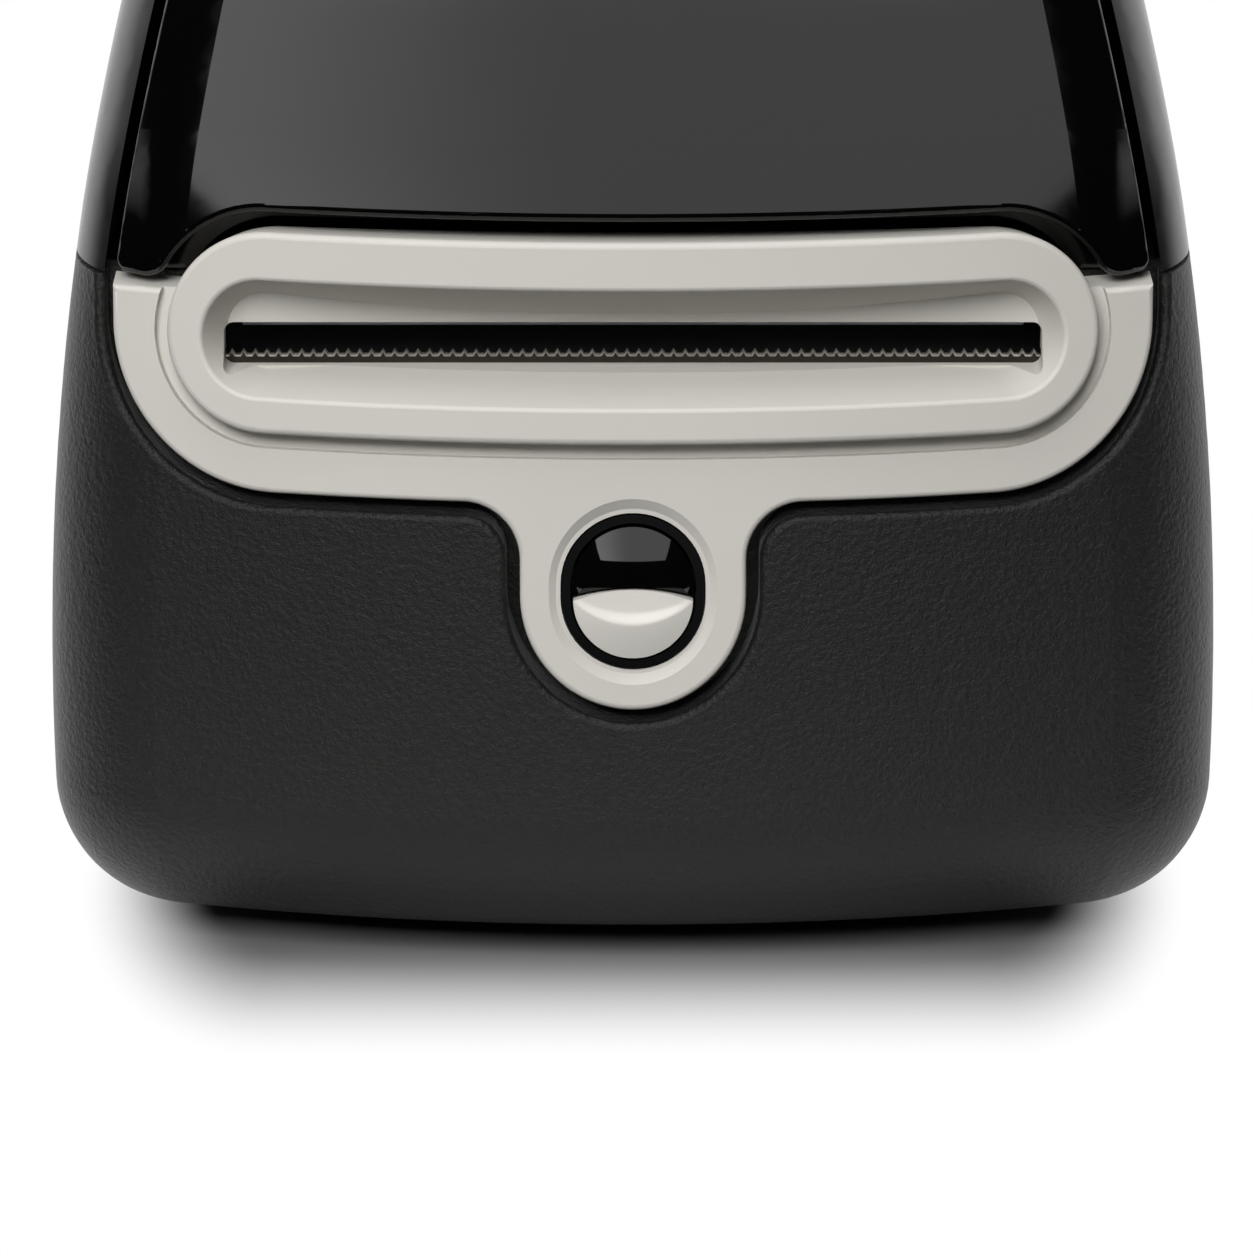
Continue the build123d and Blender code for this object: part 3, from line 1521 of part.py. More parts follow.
# Bowed leaf spring between the cross bar and the carrier
spring_low_z = carrier_z + carrier_thickness
with BuildPart() as pressure_spring:
    with BuildSketch(Plane.XZ.offset(spring_depth / 2 - bridge_y)):
        with BuildLine():
            ThreePointArc(
                (-spring_half_span, spring_low_z),
                (0, bridge_z),
                (spring_half_span, spring_low_z),
            )
            ThreePointArc(
                (-spring_half_span + spring_strip, spring_low_z),
                (0, bridge_z - spring_strip),
                (spring_half_span - spring_strip, spring_low_z),
            )
            Line((-spring_half_span, spring_low_z), (-spring_half_span + spring_strip, spring_low_z))
            Line((spring_half_span, spring_low_z), (spring_half_span - spring_strip, spring_low_z))
        make_face()
    extrude(amount=-spring_depth)
pressure_spring.part.label = "pressure_spring"
export_step(pressure_spring.part, "parts/pressure_spring.step")

# Main board on the base posts, with its three chips
board_rear_y = rear_y - wall - board_rear_gap
with BuildPart() as main_board:
    with Locations((0, board_front_y, board_z)):
        Box(
            2 * board_half_x,
            board_rear_y - board_front_y,
            board_thickness,
            align=(Align.CENTER, Align.MIN, Align.MIN),
        )
    with Locations(
        (0, board_front_y + 2 * chip_side, board_top_z),
        (-chip_side - board_post_inset, board_front_y + chip_side, board_top_z),
        (chip_side + board_post_inset, board_front_y + 2 * chip_side, board_top_z),
    ):
        Box(chip_side, chip_side, chip_height, align=(Align.CENTER, Align.CENTER, Align.MIN))
main_board.part.label = "main_board"
export_step(main_board.part, "parts/main_board.step")

# Square data socket at the rear, with its contact tongue
with BuildPart() as usb_socket:
    with Locations((usb_x, socket_y, board_top_z)):
        Box(usb_width, usb_depth, usb_height, align=(Align.CENTER, Align.MAX, Align.MIN))
    with Locations((usb_x, socket_y, board_top_z + usb_height / 2)):
        Box(
            usb_mouth_width,
            usb_mouth_depth,
            usb_mouth_height,
            align=(Align.CENTER, Align.MAX, Align.CENTER),
            mode=Mode.SUBTRACT,
        )
usb_socket.part.label = "usb_socket"
export_step(usb_socket.part, "parts/usb_socket.step")

with BuildPart() as usb_tongue:
    with Locations((usb_x, socket_y - usb_mouth_depth, board_top_z + usb_height / 2)):
        Box(
            usb_tongue_width,
            usb_mouth_depth - socket_sink,
            usb_tongue_height,
            align=(Align.CENTER, Align.MIN, Align.CENTER),
        )
usb_tongue.part.label = "usb_tongue"
export_step(usb_tongue.part, "parts/usb_tongue.step")

# Round power socket at the rear, with its centre pin
with BuildPart() as dc_socket:
    with Locations((dc_x, socket_y, board_top_z)):
        Box(dc_width, dc_depth, dc_height, align=(Align.CENTER, Align.MAX, Align.MIN))
    with Locations(Location((dc_x, socket_y, board_top_z + dc_height / 2), (90, 0, 0))):
        Cylinder(
            dc_bore,
            dc_bore_depth,
            align=(Align.CENTER, Align.CENTER, Align.MIN),
            mode=Mode.SUBTRACT,
        )
dc_socket.part.label = "dc_socket"
export_step(dc_socket.part, "parts/dc_socket.step")

with BuildPart() as dc_pin:
    with Locations(Location((dc_x, socket_y - dc_bore_depth, board_top_z + dc_height / 2), (90, 0, 0))):
        Cylinder(
            dc_pin_radius,
            dc_bore_depth - socket_sink,
            align=(Align.CENTER, Align.CENTER, Align.MAX),
        )
dc_pin.part.label = "dc_pin"
export_step(dc_pin.part, "parts/dc_pin.step")
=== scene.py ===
"""Looks of a desktop label printer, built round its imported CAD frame."""

import math

import bmesh
import bpy
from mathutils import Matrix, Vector


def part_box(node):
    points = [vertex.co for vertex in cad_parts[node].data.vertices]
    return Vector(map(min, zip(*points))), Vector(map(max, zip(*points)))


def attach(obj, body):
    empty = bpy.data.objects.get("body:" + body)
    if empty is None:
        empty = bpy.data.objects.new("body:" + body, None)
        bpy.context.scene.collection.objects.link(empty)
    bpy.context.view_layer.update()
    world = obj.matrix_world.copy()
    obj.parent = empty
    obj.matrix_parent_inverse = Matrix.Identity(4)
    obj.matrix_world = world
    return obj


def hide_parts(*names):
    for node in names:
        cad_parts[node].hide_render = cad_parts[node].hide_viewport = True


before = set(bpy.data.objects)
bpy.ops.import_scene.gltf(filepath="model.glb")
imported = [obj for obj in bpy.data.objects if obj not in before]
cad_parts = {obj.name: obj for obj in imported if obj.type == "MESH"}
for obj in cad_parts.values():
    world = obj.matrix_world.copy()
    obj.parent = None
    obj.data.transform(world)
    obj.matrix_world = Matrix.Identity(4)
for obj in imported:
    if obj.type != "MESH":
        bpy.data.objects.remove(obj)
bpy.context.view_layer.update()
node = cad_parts
mm = 0.001


# Lower housing: the tub that carries everything, injection moulded in black ABS.
# Its mould is etched with a fine leather grain; the lip round the light trim is rounded over.
def from_hex(code):
    """Linear colour of an sRGB hex value."""
    channels = [int(code[i : i + 2], 16) / 255 for i in (0, 2, 4)]
    linear = [c / 12.92 if c <= 0.04045 else ((c + 0.055) / 1.055) ** 2.4 for c in channels]
    return (*linear, 1.0)


def add_node(tree, kind, inputs=None, **settings):
    """One node: settings go on it, inputs are values or the outputs that feed it."""
    made = tree.nodes.new(kind)
    for name, value in settings.items():
        setattr(made, name, value)
    for name, value in (inputs or {}).items():
        if isinstance(value, bpy.types.NodeSocket):
            tree.links.new(value, made.inputs[name])
        else:
            made.inputs[name].default_value = value
    return made


def start_finish(name, colour, roughness, **sockets):
    """A material with one shader, its even values, and the piece's own coordinates."""
    finish = bpy.data.materials.new(name)
    finish.use_nodes = True
    tree = finish.node_tree
    shader = tree.nodes["Principled BSDF"]
    shader.inputs["Base Color"].default_value = from_hex(colour)
    shader.inputs["Roughness"].default_value = roughness
    for socket, value in sockets.items():
        shader.inputs[socket.replace("_", " ")].default_value = value
    coords = add_node(tree, "ShaderNodeTexCoord").outputs["Object"]
    return finish, tree, shader, coords


def overlay(tree, shader, under, mask, colour):
    """A second colour over the first, where a mask says so."""
    mix = add_node(tree, "ShaderNodeMix", {0: mask, 6: under, 7: from_hex(colour)}, data_type="RGBA")
    tree.links.new(mix.outputs[2], shader.inputs["Base Color"])
    return mix.outputs[2]


def tint(tree, shader, mask, low, high):
    """Colour between two hex values, by a mask."""
    return overlay(tree, shader, from_hex(low), mask, high)


def sheen_range(tree, shader, mask, low, high):
    """Roughness between two values, by a mask."""
    spread = add_node(tree, "ShaderNodeMapRange", {"Value": mask, "To Min": low, "To Max": high})
    tree.links.new(spread.outputs["Result"], shader.inputs["Roughness"])


def relief(tree, shader, height, depth_mm):
    """Raised and sunk surface, by a height pattern."""
    bump = add_node(tree, "ShaderNodeBump", {"Height": height, "Distance": depth_mm * mm})
    tree.links.new(bump.outputs["Normal"], shader.inputs["Normal"])


def dress(finish, *names):
    """Gives CAD nodes their finish."""
    for name in names:
        mesh = node[name].data
        mesh.materials.clear()
        mesh.materials.append(finish)


# Etched ABS: the grain breaks up the shine, so that it is dull with a soft glint along the lip.
grain_cell_mm = 0.6
grain_pore_mm = 0.2
grain_depth_mm = 0.12
finish, tree, shader, coords = start_finish(
    "etched_black_abs", "0f0f0e", 0.5, Specular_IOR_Level=0.42, Sheen_Weight=0.1, Sheen_Roughness=0.3
)
cells = add_node(
    tree,
    "ShaderNodeTexVoronoi",
    {"Vector": coords, "Scale": 1 / (grain_cell_mm * mm)},
    feature="SMOOTH_F1",
)
pores = add_node(
    tree, "ShaderNodeTexNoise", {"Vector": coords, "Scale": 1 / (grain_pore_mm * mm), "Detail": 2.0}
)
grain = add_node(
    tree, "ShaderNodeMath", {0: cells.outputs["Distance"], 1: pores.outputs["Fac"]}, operation="ADD"
)
tint(tree, shader, cells.outputs["Distance"], "0c0c0b", "131312")
sheen_range(tree, shader, pores.outputs["Fac"], 0.34, 0.48)
relief(tree, shader, grain.outputs["Value"], grain_depth_mm)
dress(finish, "lower_housing")


# Base plate and feet: a flat moulded plate, screwed up into the tub, with four soft rubber feet
# pressed into its pockets. The plate is the same black ABS as the tub, but smooth.
def moulded(name, colours, roughness, grain_mm, depth_mm, **sockets):
    """Moulded plastic or rubber: faint cloudy colour, and the fine texture that the mould leaves."""
    cloud_mm = 18
    finish, tree, shader, coords = start_finish(name, colours[0], roughness[0], **sockets)
    cloud = add_node(
        tree, "ShaderNodeTexNoise", {"Vector": coords, "Scale": 1 / (cloud_mm * mm), "Detail": 2.0}
    )
    fine = add_node(
        tree, "ShaderNodeTexNoise", {"Vector": coords, "Scale": 1 / (grain_mm * mm), "Detail": 3.0}
    )
    tint(tree, shader, cloud.outputs["Fac"], *colours)
    sheen_range(tree, shader, fine.outputs["Fac"], *roughness)
    relief(tree, shader, fine.outputs["Fac"], depth_mm)
    return finish


dress(
    moulded("smooth_black_abs", ("181818", "1e1e1e"), (0.4, 0.55), grain_mm=0.3, depth_mm=0.01),
    "base_plate",
)
dress(
    moulded("foot_rubber", ("202020", "2a2a29"), (0.75, 0.95), grain_mm=0.4, depth_mm=0.03, IOR=1.45),
    "rubber_feet",
)


# Screws, pins, rods, shafts and the leaf spring: bright steel, ground or rolled along X.
# They hold the base and the motor, and carry the lid, the print head and the gears.
def worked_metal(name, colours, roughness, streak_mm, depth_mm, squeeze=(0.08, 1.0, 1.0)):
    """Metal with the streaks that a tool leaves; squeeze is small along them."""
    finish, tree, shader, coords = start_finish(name, colours[0], roughness[0], Metallic=1.0)
    along = add_node(tree, "ShaderNodeMapping", {"Vector": coords, "Scale": squeeze})
    streak = add_node(
        tree,
        "ShaderNodeTexNoise",
        {"Vector": along.outputs["Vector"], "Scale": 1 / (streak_mm * mm), "Detail": 4.0},
    )
    tint(tree, shader, streak.outputs["Fac"], *colours)
    sheen_range(tree, shader, streak.outputs["Fac"], *roughness)
    relief(tree, shader, streak.outputs["Fac"], depth_mm)
    return finish


dress(
    worked_metal("ground_steel", ("a5a5a4", "cfcfcd"), (0.18, 0.36), streak_mm=0.3, depth_mm=0.004),
    "base_screws",
    "hinge_pins",
    "head_rod",
    "platen_shaft",
    "motor_shaft",
    "idler_stud",
    "motor_screws",
    "pressure_spring",
    "dc_pin",
)


# Boards: glass-epoxy panels under green solder mask, whose copper tracks show as paler raised lines.
# The main board stands on posts of the base plate, and its chips are moulded in black epoxy.
def solder_mask(name):
    """Green lacquer over copper tracks."""
    track_mm = 5.0
    track_share = 0.03
    track_rise_mm = 0.04
    finish, tree, shader, coords = start_finish(name, "0c4226", 0.32)
    tracks = add_node(
        tree,
        "ShaderNodeTexBrick",
        {
            "Vector": coords,
            "Scale": 1 / (2 * track_mm * mm),
            "Mortar Size": track_share,
            "Color1": (0, 0, 0, 1),
            "Color2": (0, 0, 0, 1),
            "Mortar": (1, 1, 1, 1),
        },
    )
    green = tint(tree, shader, tracks.outputs["Color"], "0c4226", "1f6b3f")
    sheen_range(tree, shader, tracks.outputs["Color"], 0.36, 0.24)
    relief(tree, shader, tracks.outputs["Color"], track_rise_mm)
    return finish, tree, shader, coords, green


dress(solder_mask("green_solder_mask")[0], "button_board")

board_thickness = 1.6 * mm
chips_above = 1.02 * board_thickness
finish, tree, shader, coords, green = solder_mask("populated_solder_mask")
height = add_node(tree, "ShaderNodeSeparateXYZ", {"Vector": coords})
chips = add_node(
    tree,
    "ShaderNodeMath",
    {0: height.outputs["Z"], 1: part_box("main_board")[0].z + chips_above},
    operation="GREATER_THAN",
)
overlay(tree, shader, green, chips.outputs["Value"], "1a1a1b")
dress(finish, "main_board")

# Small black parts: the push switch, the label sensor, the power socket and the data socket's tongue.
# They are moulded in glass-filled nylon, which has a dull, slightly speckled face.
dress(
    moulded("filled_nylon", ("1b1b1c", "242425"), (0.45, 0.65), grain_mm=0.25, depth_mm=0.012),
    "feed_switch",
    "label_sensor",
    "dc_socket",
    "usb_tongue",
)

# Data socket: a shell folded from tinned steel sheet and soldered to the main board.
# The tin has set in soft, even patches without a direction.
dress(
    worked_metal(
        "tinned_shell", ("b3b2ad", "cdccc7"), (0.28, 0.42), streak_mm=0.5, depth_mm=0.004, squeeze=(0.3, 0.3, 0.3)
    ),
    "usb_socket",
)

# Status lamp: a clear epoxy diode, soldered on the small board behind the dark lens.
# It is cast, so it is almost as smooth as glass.
dress(
    moulded(
        "clear_epoxy",
        ("d5dde4", "e2e8ec"),
        (0.05, 0.12),
        grain_mm=0.6,
        depth_mm=0.005,
        Transmission_Weight=0.85,
        IOR=1.54,
    ),
    "status_led",
)

# Roll tray and spool brackets: one long moulded trough under the roll, with two plates that the
# spool hangs in. Black ABS with an even, fine texture, a little lighter than the outer shell.
dress(
    moulded("textured_black_abs", ("202020", "282828"), (0.45, 0.62), grain_mm=0.35, depth_mm=0.02),
    "roll_tray",
    "spool_bracket_left",
    "spool_bracket_right",
)

# Print frame: two side plates and a cross bar, punched from zinc-plated steel sheet.
# The plating has grown in flakes, which show as faint patches, and the sheet is drawn along Z.
spangle_mm = 5.0
line_mm = 0.25
line_depth_mm = 0.004
finish, tree, shader, coords = start_finish("zinc_plated_sheet", "b4b6b8", 0.35, Metallic=1.0)
flakes = add_node(tree, "ShaderNodeTexVoronoi", {"Vector": coords, "Scale": 1 / (spangle_mm * mm)})
drawn = add_node(tree, "ShaderNodeMapping", {"Vector": coords, "Scale": (1.0, 1.0, 0.06)})
lines = add_node(
    tree,
    "ShaderNodeTexNoise",
    {"Vector": drawn.outputs["Vector"], "Scale": 1 / (line_mm * mm), "Detail": 3.0},
)
flake_tone = add_node(tree, "ShaderNodeSeparateXYZ", {"Vector": flakes.outputs["Color"]})
tint(tree, shader, flake_tone.outputs["X"], "a7a9ac", "c2c4c5")
sheen_range(tree, shader, flake_tone.outputs["Y"], 0.26, 0.44)
relief(tree, shader, lines.outputs["Fac"], line_depth_mm)
dress(finish, "frame_left", "frame_right", "head_bridge")

# Platen bushes: two rings turned from brass and pressed into the side plates.
# The lathe left its streaks round them.
dress(
    worked_metal(
        "turned_brass", ("b08b45", "d4b069"), (0.2, 0.36), streak_mm=0.3, depth_mm=0.004, squeeze=(1.0, 0.2, 0.2)
    ),
    "platen_bushes",
)

# Stepper motor: a drawn steel can with a plated face, screwed to the right side plate.
# The can was drawn along X, which is where its streaks run.
dress(
    worked_metal(
        "drawn_steel_can", ("8f9092", "b2b3b4"), (0.26, 0.4), streak_mm=0.4, depth_mm=0.005, squeeze=(0.06, 1.0, 1.0)
    ),
    "stepper_motor",
)

# Gears: natural acetal, moulded, milky white with a soft shine.
# The platen gear and the pinion sit fast on their shafts; the idler turns on a stud.
dress(
    moulded("natural_acetal", ("dedbd1", "ebe8df"), (0.32, 0.46), grain_mm=0.3, depth_mm=0.008, IOR=1.48),
    "platen_gear",
    "idler_gear",
    "motor_pinion",
)

# Platen sleeve: silicone rubber, cast on the steel shaft and ground to size.
# It is dull, with fine grinding rings round it.
ring_mm = 0.3
ring_depth_mm = 0.015
finish, tree, shader, coords = start_finish("ground_rubber", "242425", 0.7, IOR=1.43)
rings = add_node(tree, "ShaderNodeMapping", {"Vector": coords, "Scale": (1.0, 0.02, 0.02)})
ground = add_node(
    tree,
    "ShaderNodeTexNoise",
    {"Vector": rings.outputs["Vector"], "Scale": 1 / (ring_mm * mm), "Detail": 3.0},
)
tint(tree, shader, ground.outputs["Fac"], "202021", "2b2b2c")
sheen_range(tree, shader, ground.outputs["Fac"], 0.6, 0.82)
relief(tree, shader, ground.outputs["Fac"], ring_depth_mm)
dress(finish, "platen_rubber")

# Print head: a milled aluminium carrier that swings down on the platen, with a glazed ceramic strip
# below it. The strip's heater line is a thin brown stripe along its middle.
dress(
    worked_metal("milled_aluminium", ("bcbdbe", "d6d6d6"), (0.24, 0.4), streak_mm=0.35, depth_mm=0.006),
    "head_carrier",
)

heater_mm = 0.8
speck_mm = 1.5
strip_low, strip_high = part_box("thermal_head")
finish, tree, shader, coords = start_finish("glazed_ceramic", "d9d3c7", 0.18)
speck = add_node(tree, "ShaderNodeTexNoise", {"Vector": coords, "Scale": 1 / (speck_mm * mm), "Detail": 2.0})
glaze = tint(tree, shader, speck.outputs["Fac"], "d2ccbf", "e2ddd2")
across = add_node(tree, "ShaderNodeSeparateXYZ", {"Vector": coords})
heater = add_node(
    tree,
    "ShaderNodeMath",
    {0: across.outputs["Y"], 1: (strip_low.y + strip_high.y) / 2, 2: heater_mm * mm / 2},
    operation="COMPARE",
)
overlay(tree, shader, glaze, heater.outputs["Value"], "6a4a2c")
sheen_range(tree, shader, speck.outputs["Fac"], 0.12, 0.24)
dress(finish, "thermal_head")

# Release lever: moulded in blue ABS, so that a user finds it.
# It is clipped on the left end of the carrier and lifts the head off the platen.
dress(
    moulded("lever_blue_abs", ("1f4f93", "285ba3"), (0.35, 0.5), grain_mm=0.3, depth_mm=0.01),
    "release_lever",
)

# Spool: a hollow spindle with one fixed flange, and a guide that slides on it from the right.
# Dark grey ABS with a satin surface, rubbed a little smoother by the roll.
dress(
    moulded("satin_grey_abs", ("3d3e40", "47484a"), (0.34, 0.5), grain_mm=0.3, depth_mm=0.01),
    "spool_spindle",
    "guide_ring",
)

# Roll core: a tube wound from raw cardboard, slid on the spindle.
# Its fibres lie round it and stand up a little.
fibre_mm = 0.8
fibre_depth_mm = 0.05
finish, tree, shader, coords = start_finish("raw_cardboard", "a8835a", 0.9)
wound = add_node(tree, "ShaderNodeMapping", {"Vector": coords, "Scale": (1.0, 0.25, 0.25)})
fibre = add_node(
    tree,
    "ShaderNodeTexNoise",
    {"Vector": wound.outputs["Vector"], "Scale": 1 / (fibre_mm * mm), "Detail": 5.0},
)
tint(tree, shader, fibre.outputs["Fac"], "8f6c46", "bd9a70")
sheen_range(tree, shader, fibre.outputs["Fac"], 0.85, 1.0)
relief(tree, shader, fibre.outputs["Fac"], fibre_depth_mm)
dress(finish, "roll_core")

# Label roll: a strip of white labels on yellowish backing paper, wound on the core.
# The turns show on its ends, drawn coarser than real so that they can be seen, and the gaps
# between two labels show as narrow bands on the outside.
turn_mm = 0.45
turn_depth_mm = 0.06
label_mm = 0.1
label_gap_share = 0.09
labels_round = 8
roll_low, roll_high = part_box("label_roll")
roll_radius = (roll_high.z - roll_low.z) / 2
finish, tree, shader, coords = start_finish("coated_label_paper", "ecebe6", 0.6)
centred = add_node(
    tree,
    "ShaderNodeMapping",
    {
        "Vector": coords,
        "Location": (0, -(roll_low.y + roll_high.y) / 2, -(roll_low.z + roll_high.z) / 2),
    },
)
axes = add_node(tree, "ShaderNodeSeparateXYZ", {"Vector": centred.outputs["Vector"]})
flat = add_node(tree, "ShaderNodeCombineXYZ", {"X": axes.outputs["Y"], "Y": axes.outputs["Z"]})
radius = add_node(tree, "ShaderNodeVectorMath", {0: flat.outputs["Vector"]}, operation="LENGTH")
turns = add_node(
    tree,
    "ShaderNodeTexNoise",
    {"W": radius.outputs["Value"], "Scale": 1 / (turn_mm * mm), "Detail": 2.0},
    noise_dimensions="1D",
)
angle = add_node(tree, "ShaderNodeTexGradient", {"Vector": flat.outputs["Vector"]}, gradient_type="RADIAL")
count = add_node(tree, "ShaderNodeMath", {0: angle.outputs["Fac"], 1: labels_round}, operation="MULTIPLY")
step = add_node(tree, "ShaderNodeMath", {0: count.outputs["Value"]}, operation="FRACT")
gap = add_node(tree, "ShaderNodeMath", {0: step.outputs["Value"], 1: label_gap_share}, operation="LESS_THAN")
outside = add_node(
    tree,
    "ShaderNodeMath",
    {0: radius.outputs["Value"], 1: roll_radius - label_mm * mm},
    operation="GREATER_THAN",
)
band = add_node(
    tree, "ShaderNodeMath", {0: gap.outputs["Value"], 1: outside.outputs["Value"]}, operation="MULTIPLY"
)
paper = tint(tree, shader, turns.outputs["Fac"], "d9d6cb", "f2f1ed")
overlay(tree, shader, paper, band.outputs["Value"], "d8cda8")
sheen_range(tree, shader, turns.outputs["Fac"], 0.5, 0.72)
relief(tree, shader, turns.outputs["Fac"], turn_depth_mm)
dress(finish, "label_roll")

# Upper housing: the two bulging cheeks and the rear wall, moulded in black ABS.
# The mould was only lightly blasted, so the cheeks are satin and catch the light along their edges.
dress(
    moulded("satin_black_abs", ("161616", "1b1b1b"), (0.16, 0.24), grain_mm=0.16, depth_mm=0.003, IOR=1.65),
    "upper_housing",
)

# Lid: the hood over the roll, moulded in black ABS from a polished mould and left glossy.
# It swings up on two pins at the rear. The plastic has flowed in slow waves, so reflections waver.
wave_mm = 16.0
wave_depth_mm = 0.02
haze_mm = 5.0
finish, tree, shader, coords = start_finish("polished_black_abs", "030303", 0.09, IOR=1.5)
flow = add_node(tree, "ShaderNodeTexNoise", {"Vector": coords, "Scale": 1 / (wave_mm * mm), "Detail": 1.0})
haze = add_node(tree, "ShaderNodeTexNoise", {"Vector": coords, "Scale": 1 / (haze_mm * mm), "Detail": 4.0})
tint(tree, shader, haze.outputs["Fac"], "020202", "040404")
sheen_range(tree, shader, haze.outputs["Fac"], 0.07, 0.12)
relief(tree, shader, flow.outputs["Fac"], wave_depth_mm)
dress(finish, "top_lid")

# Front trim and exit mouth: two mouldings in warm grey ABS, clipped into the pocket of the tub.
# Their mould was spark-eroded, which leaves an even, very fine satin.
dress(
    moulded("warm_grey_abs", ("c7c4bd", "ccc9c2"), (0.4, 0.52), grain_mm=0.2, depth_mm=0.008),
    "front_trim",
    "exit_mouth",
)

# Tear bar: a strip of stainless steel with pressed teeth, held behind the lip of the slot.
# Its faces that turn upward, the tops of the zigzag edge and of its small bevel, are painted near white as a
# highlight. The rest of the strip is painted dark as shade.
tear_teeth = 70
tooth_corners = 4
tooth_height = 0.55 * mm
valley_share = 0.2
burr = 0.16 * mm
painted_highlight_rise = 0.1
one_front = 1.5
bar_low, bar_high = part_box("tear_bar")
tooth_pitch = (bar_high.x - bar_low.x) / tear_teeth
bar_depth = bar_high.y - bar_low.y
valley_z = bar_high.z - tooth_height


def place_piece(name, shape):
    """A piece at the origin from a finished bmesh."""
    mesh = bpy.data.meshes.new(name)
    shape.to_mesh(mesh)
    shape.free()
    piece = bpy.data.objects.new(name, mesh)
    bpy.context.scene.collection.objects.link(piece)
    return piece


steel = bmesh.new()
bmesh.ops.create_grid(steel, x_segments=tooth_corners * tear_teeth, y_segments=1, size=0.5)
for vert in steel.verts:
    corner = round((vert.co.x + 0.5) * tooth_corners * tear_teeth)
    tooth, place = divmod(corner, tooth_corners)
    share = (0, valley_share, 0.5, 1 - valley_share)[place]
    tip = bar_high.z if place == 2 else valley_z
    vert.co = (
        bar_low.x + (tooth + share) * tooth_pitch,
        bar_low.y,
        tip if vert.co.y > 0 else bar_low.z,
    )
back = bmesh.ops.extrude_face_region(steel, geom=list(steel.faces), use_keep_orig=True)["geom"]
back = [part for part in back if isinstance(part, bmesh.types.BMVert)]
bmesh.ops.translate(steel, verts=back, vec=(0, bar_depth, 0))
bmesh.ops.recalc_face_normals(steel, faces=list(steel.faces))
# An edge between two front faces is flat and isn't bevelled.
front_edges = [
    edge
    for edge in steel.edges
    if len(edge.link_faces) == 2
    and all(vert.co.y < bar_low.y + burr and vert.co.z > valley_z - burr for vert in edge.verts)
    and abs(edge.link_faces[0].normal.y) + abs(edge.link_faces[1].normal.y) < one_front
]
bmesh.ops.bevel(steel, geom=front_edges, offset=burr, segments=1, affect="EDGES")
# Painted light: faces that turn upward take the near-white painted highlight, all others the dark painted shade.
for face in steel.faces:
    face.material_index = int(face.normal.z > painted_highlight_rise)
tear_piece = place_piece("serrated_tear_bar", steel)
# The two finishes: first the dark painted shade, then the near-white painted highlight.
for finish in (
    worked_metal("painted_shade_steel", ("38342f", "4a4640"), (0.3, 0.45), streak_mm=0.15, depth_mm=0.004),
    worked_metal("painted_highlight_steel", ("e4dfd7", "f4f0e9"), (0.3, 0.45), streak_mm=0.1, depth_mm=0.006),
):
    tear_piece.data.materials.append(finish)
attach(tear_piece, "chassis")
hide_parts("tear_bar")

# Button sleeve: a black tube through the tongue of the trim, which the lens and the button sit in.
# Moulded in ABS and polished, so its narrow front shows as a black line.
dress(
    moulded(
        "gloss_black_sleeve",
        ("020202", "040404"),
        (0.14, 0.24),
        grain_mm=0.3,
        depth_mm=0.003,
        Specular_IOR_Level=0.12,
    ),
    "button_ring",
)

# Status lens: a pillow of smoked polycarbonate in the upper half of the sleeve, highest at its own
# middle. It is polished, so it mirrors the lamps above and the dark room below.
lean = math.radians(10)
sleeve_radius = 7.55 * mm
sleeve_sink = 0.3 * mm
stretch = 1.4 * mm
cap_radius = 6.35 * mm
cap_back = -6.4 * mm
split_middle = -15.8 * mm
split_radius = 17.0 * mm
split_gap = 0.15 * mm
lens_dome = 11.5 * mm
lens_middle = 4.1 * mm
lens_proud = 0.9 * mm
lens_flatness = 0.86
smear_mm = 2.5
sleeve_low, sleeve_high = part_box("button_ring")
face_y = sleeve_low.y + sleeve_radius * math.sin(lean) - sleeve_sink * math.cos(lean)
face_z = sleeve_high.z - (sleeve_radius + stretch) * math.cos(lean) + sleeve_sink * math.sin(lean)


def on_face(across, up, out):
    """A point from its place on the leaning front."""
    return Vector(
        (
            across,
            face_y + up * math.sin(lean) - out * math.cos(lean),
            face_z + up * math.cos(lean) + out * math.sin(lean),
        )
    )


def arc(radius, across):
    """How far a circle reaches above its middle, at a distance from it."""
    return math.sqrt(max(radius**2 - across**2, 0))


def cushion(name, half_width, low, high, rise):
    """A closed moulding on the leaning front, between two curves, with its height by a formula."""
    columns, rows, digits = 64, 40, 7
    pad = bmesh.new()
    bmesh.ops.create_grid(pad, x_segments=columns, y_segments=rows, size=0.5)
    places = {}
    for vert in pad.verts:
        across = half_width * math.sin(math.pi * vert.co.x)
        up = low(across) + (vert.co.y + 0.5) * (high(across) - low(across))
        vert.co = on_face(across, up, rise(across, up))
        places[vert.co.to_tuple(digits)] = (across, up)
    front = list(pad.faces)
    grown = bmesh.ops.extrude_face_region(pad, geom=front, use_keep_orig=True)["geom"]
    for vert in grown:
        if isinstance(vert, bmesh.types.BMVert):
            vert.co = on_face(*places[vert.co.to_tuple(digits)], cap_back)
    bmesh.ops.recalc_face_normals(pad, faces=list(pad.faces))
    for face in front:
        face.smooth = True
        for edge in face.edges:
            edge.smooth = all(other in front for other in edge.link_faces)
    return place_piece(name, pad)


def lens_height(across, up):
    """Height of the lens above the front: a dome that bends less from side to side."""
    return lens_proud - lens_dome + arc(lens_dome, math.hypot(lens_flatness * across, up - lens_middle))


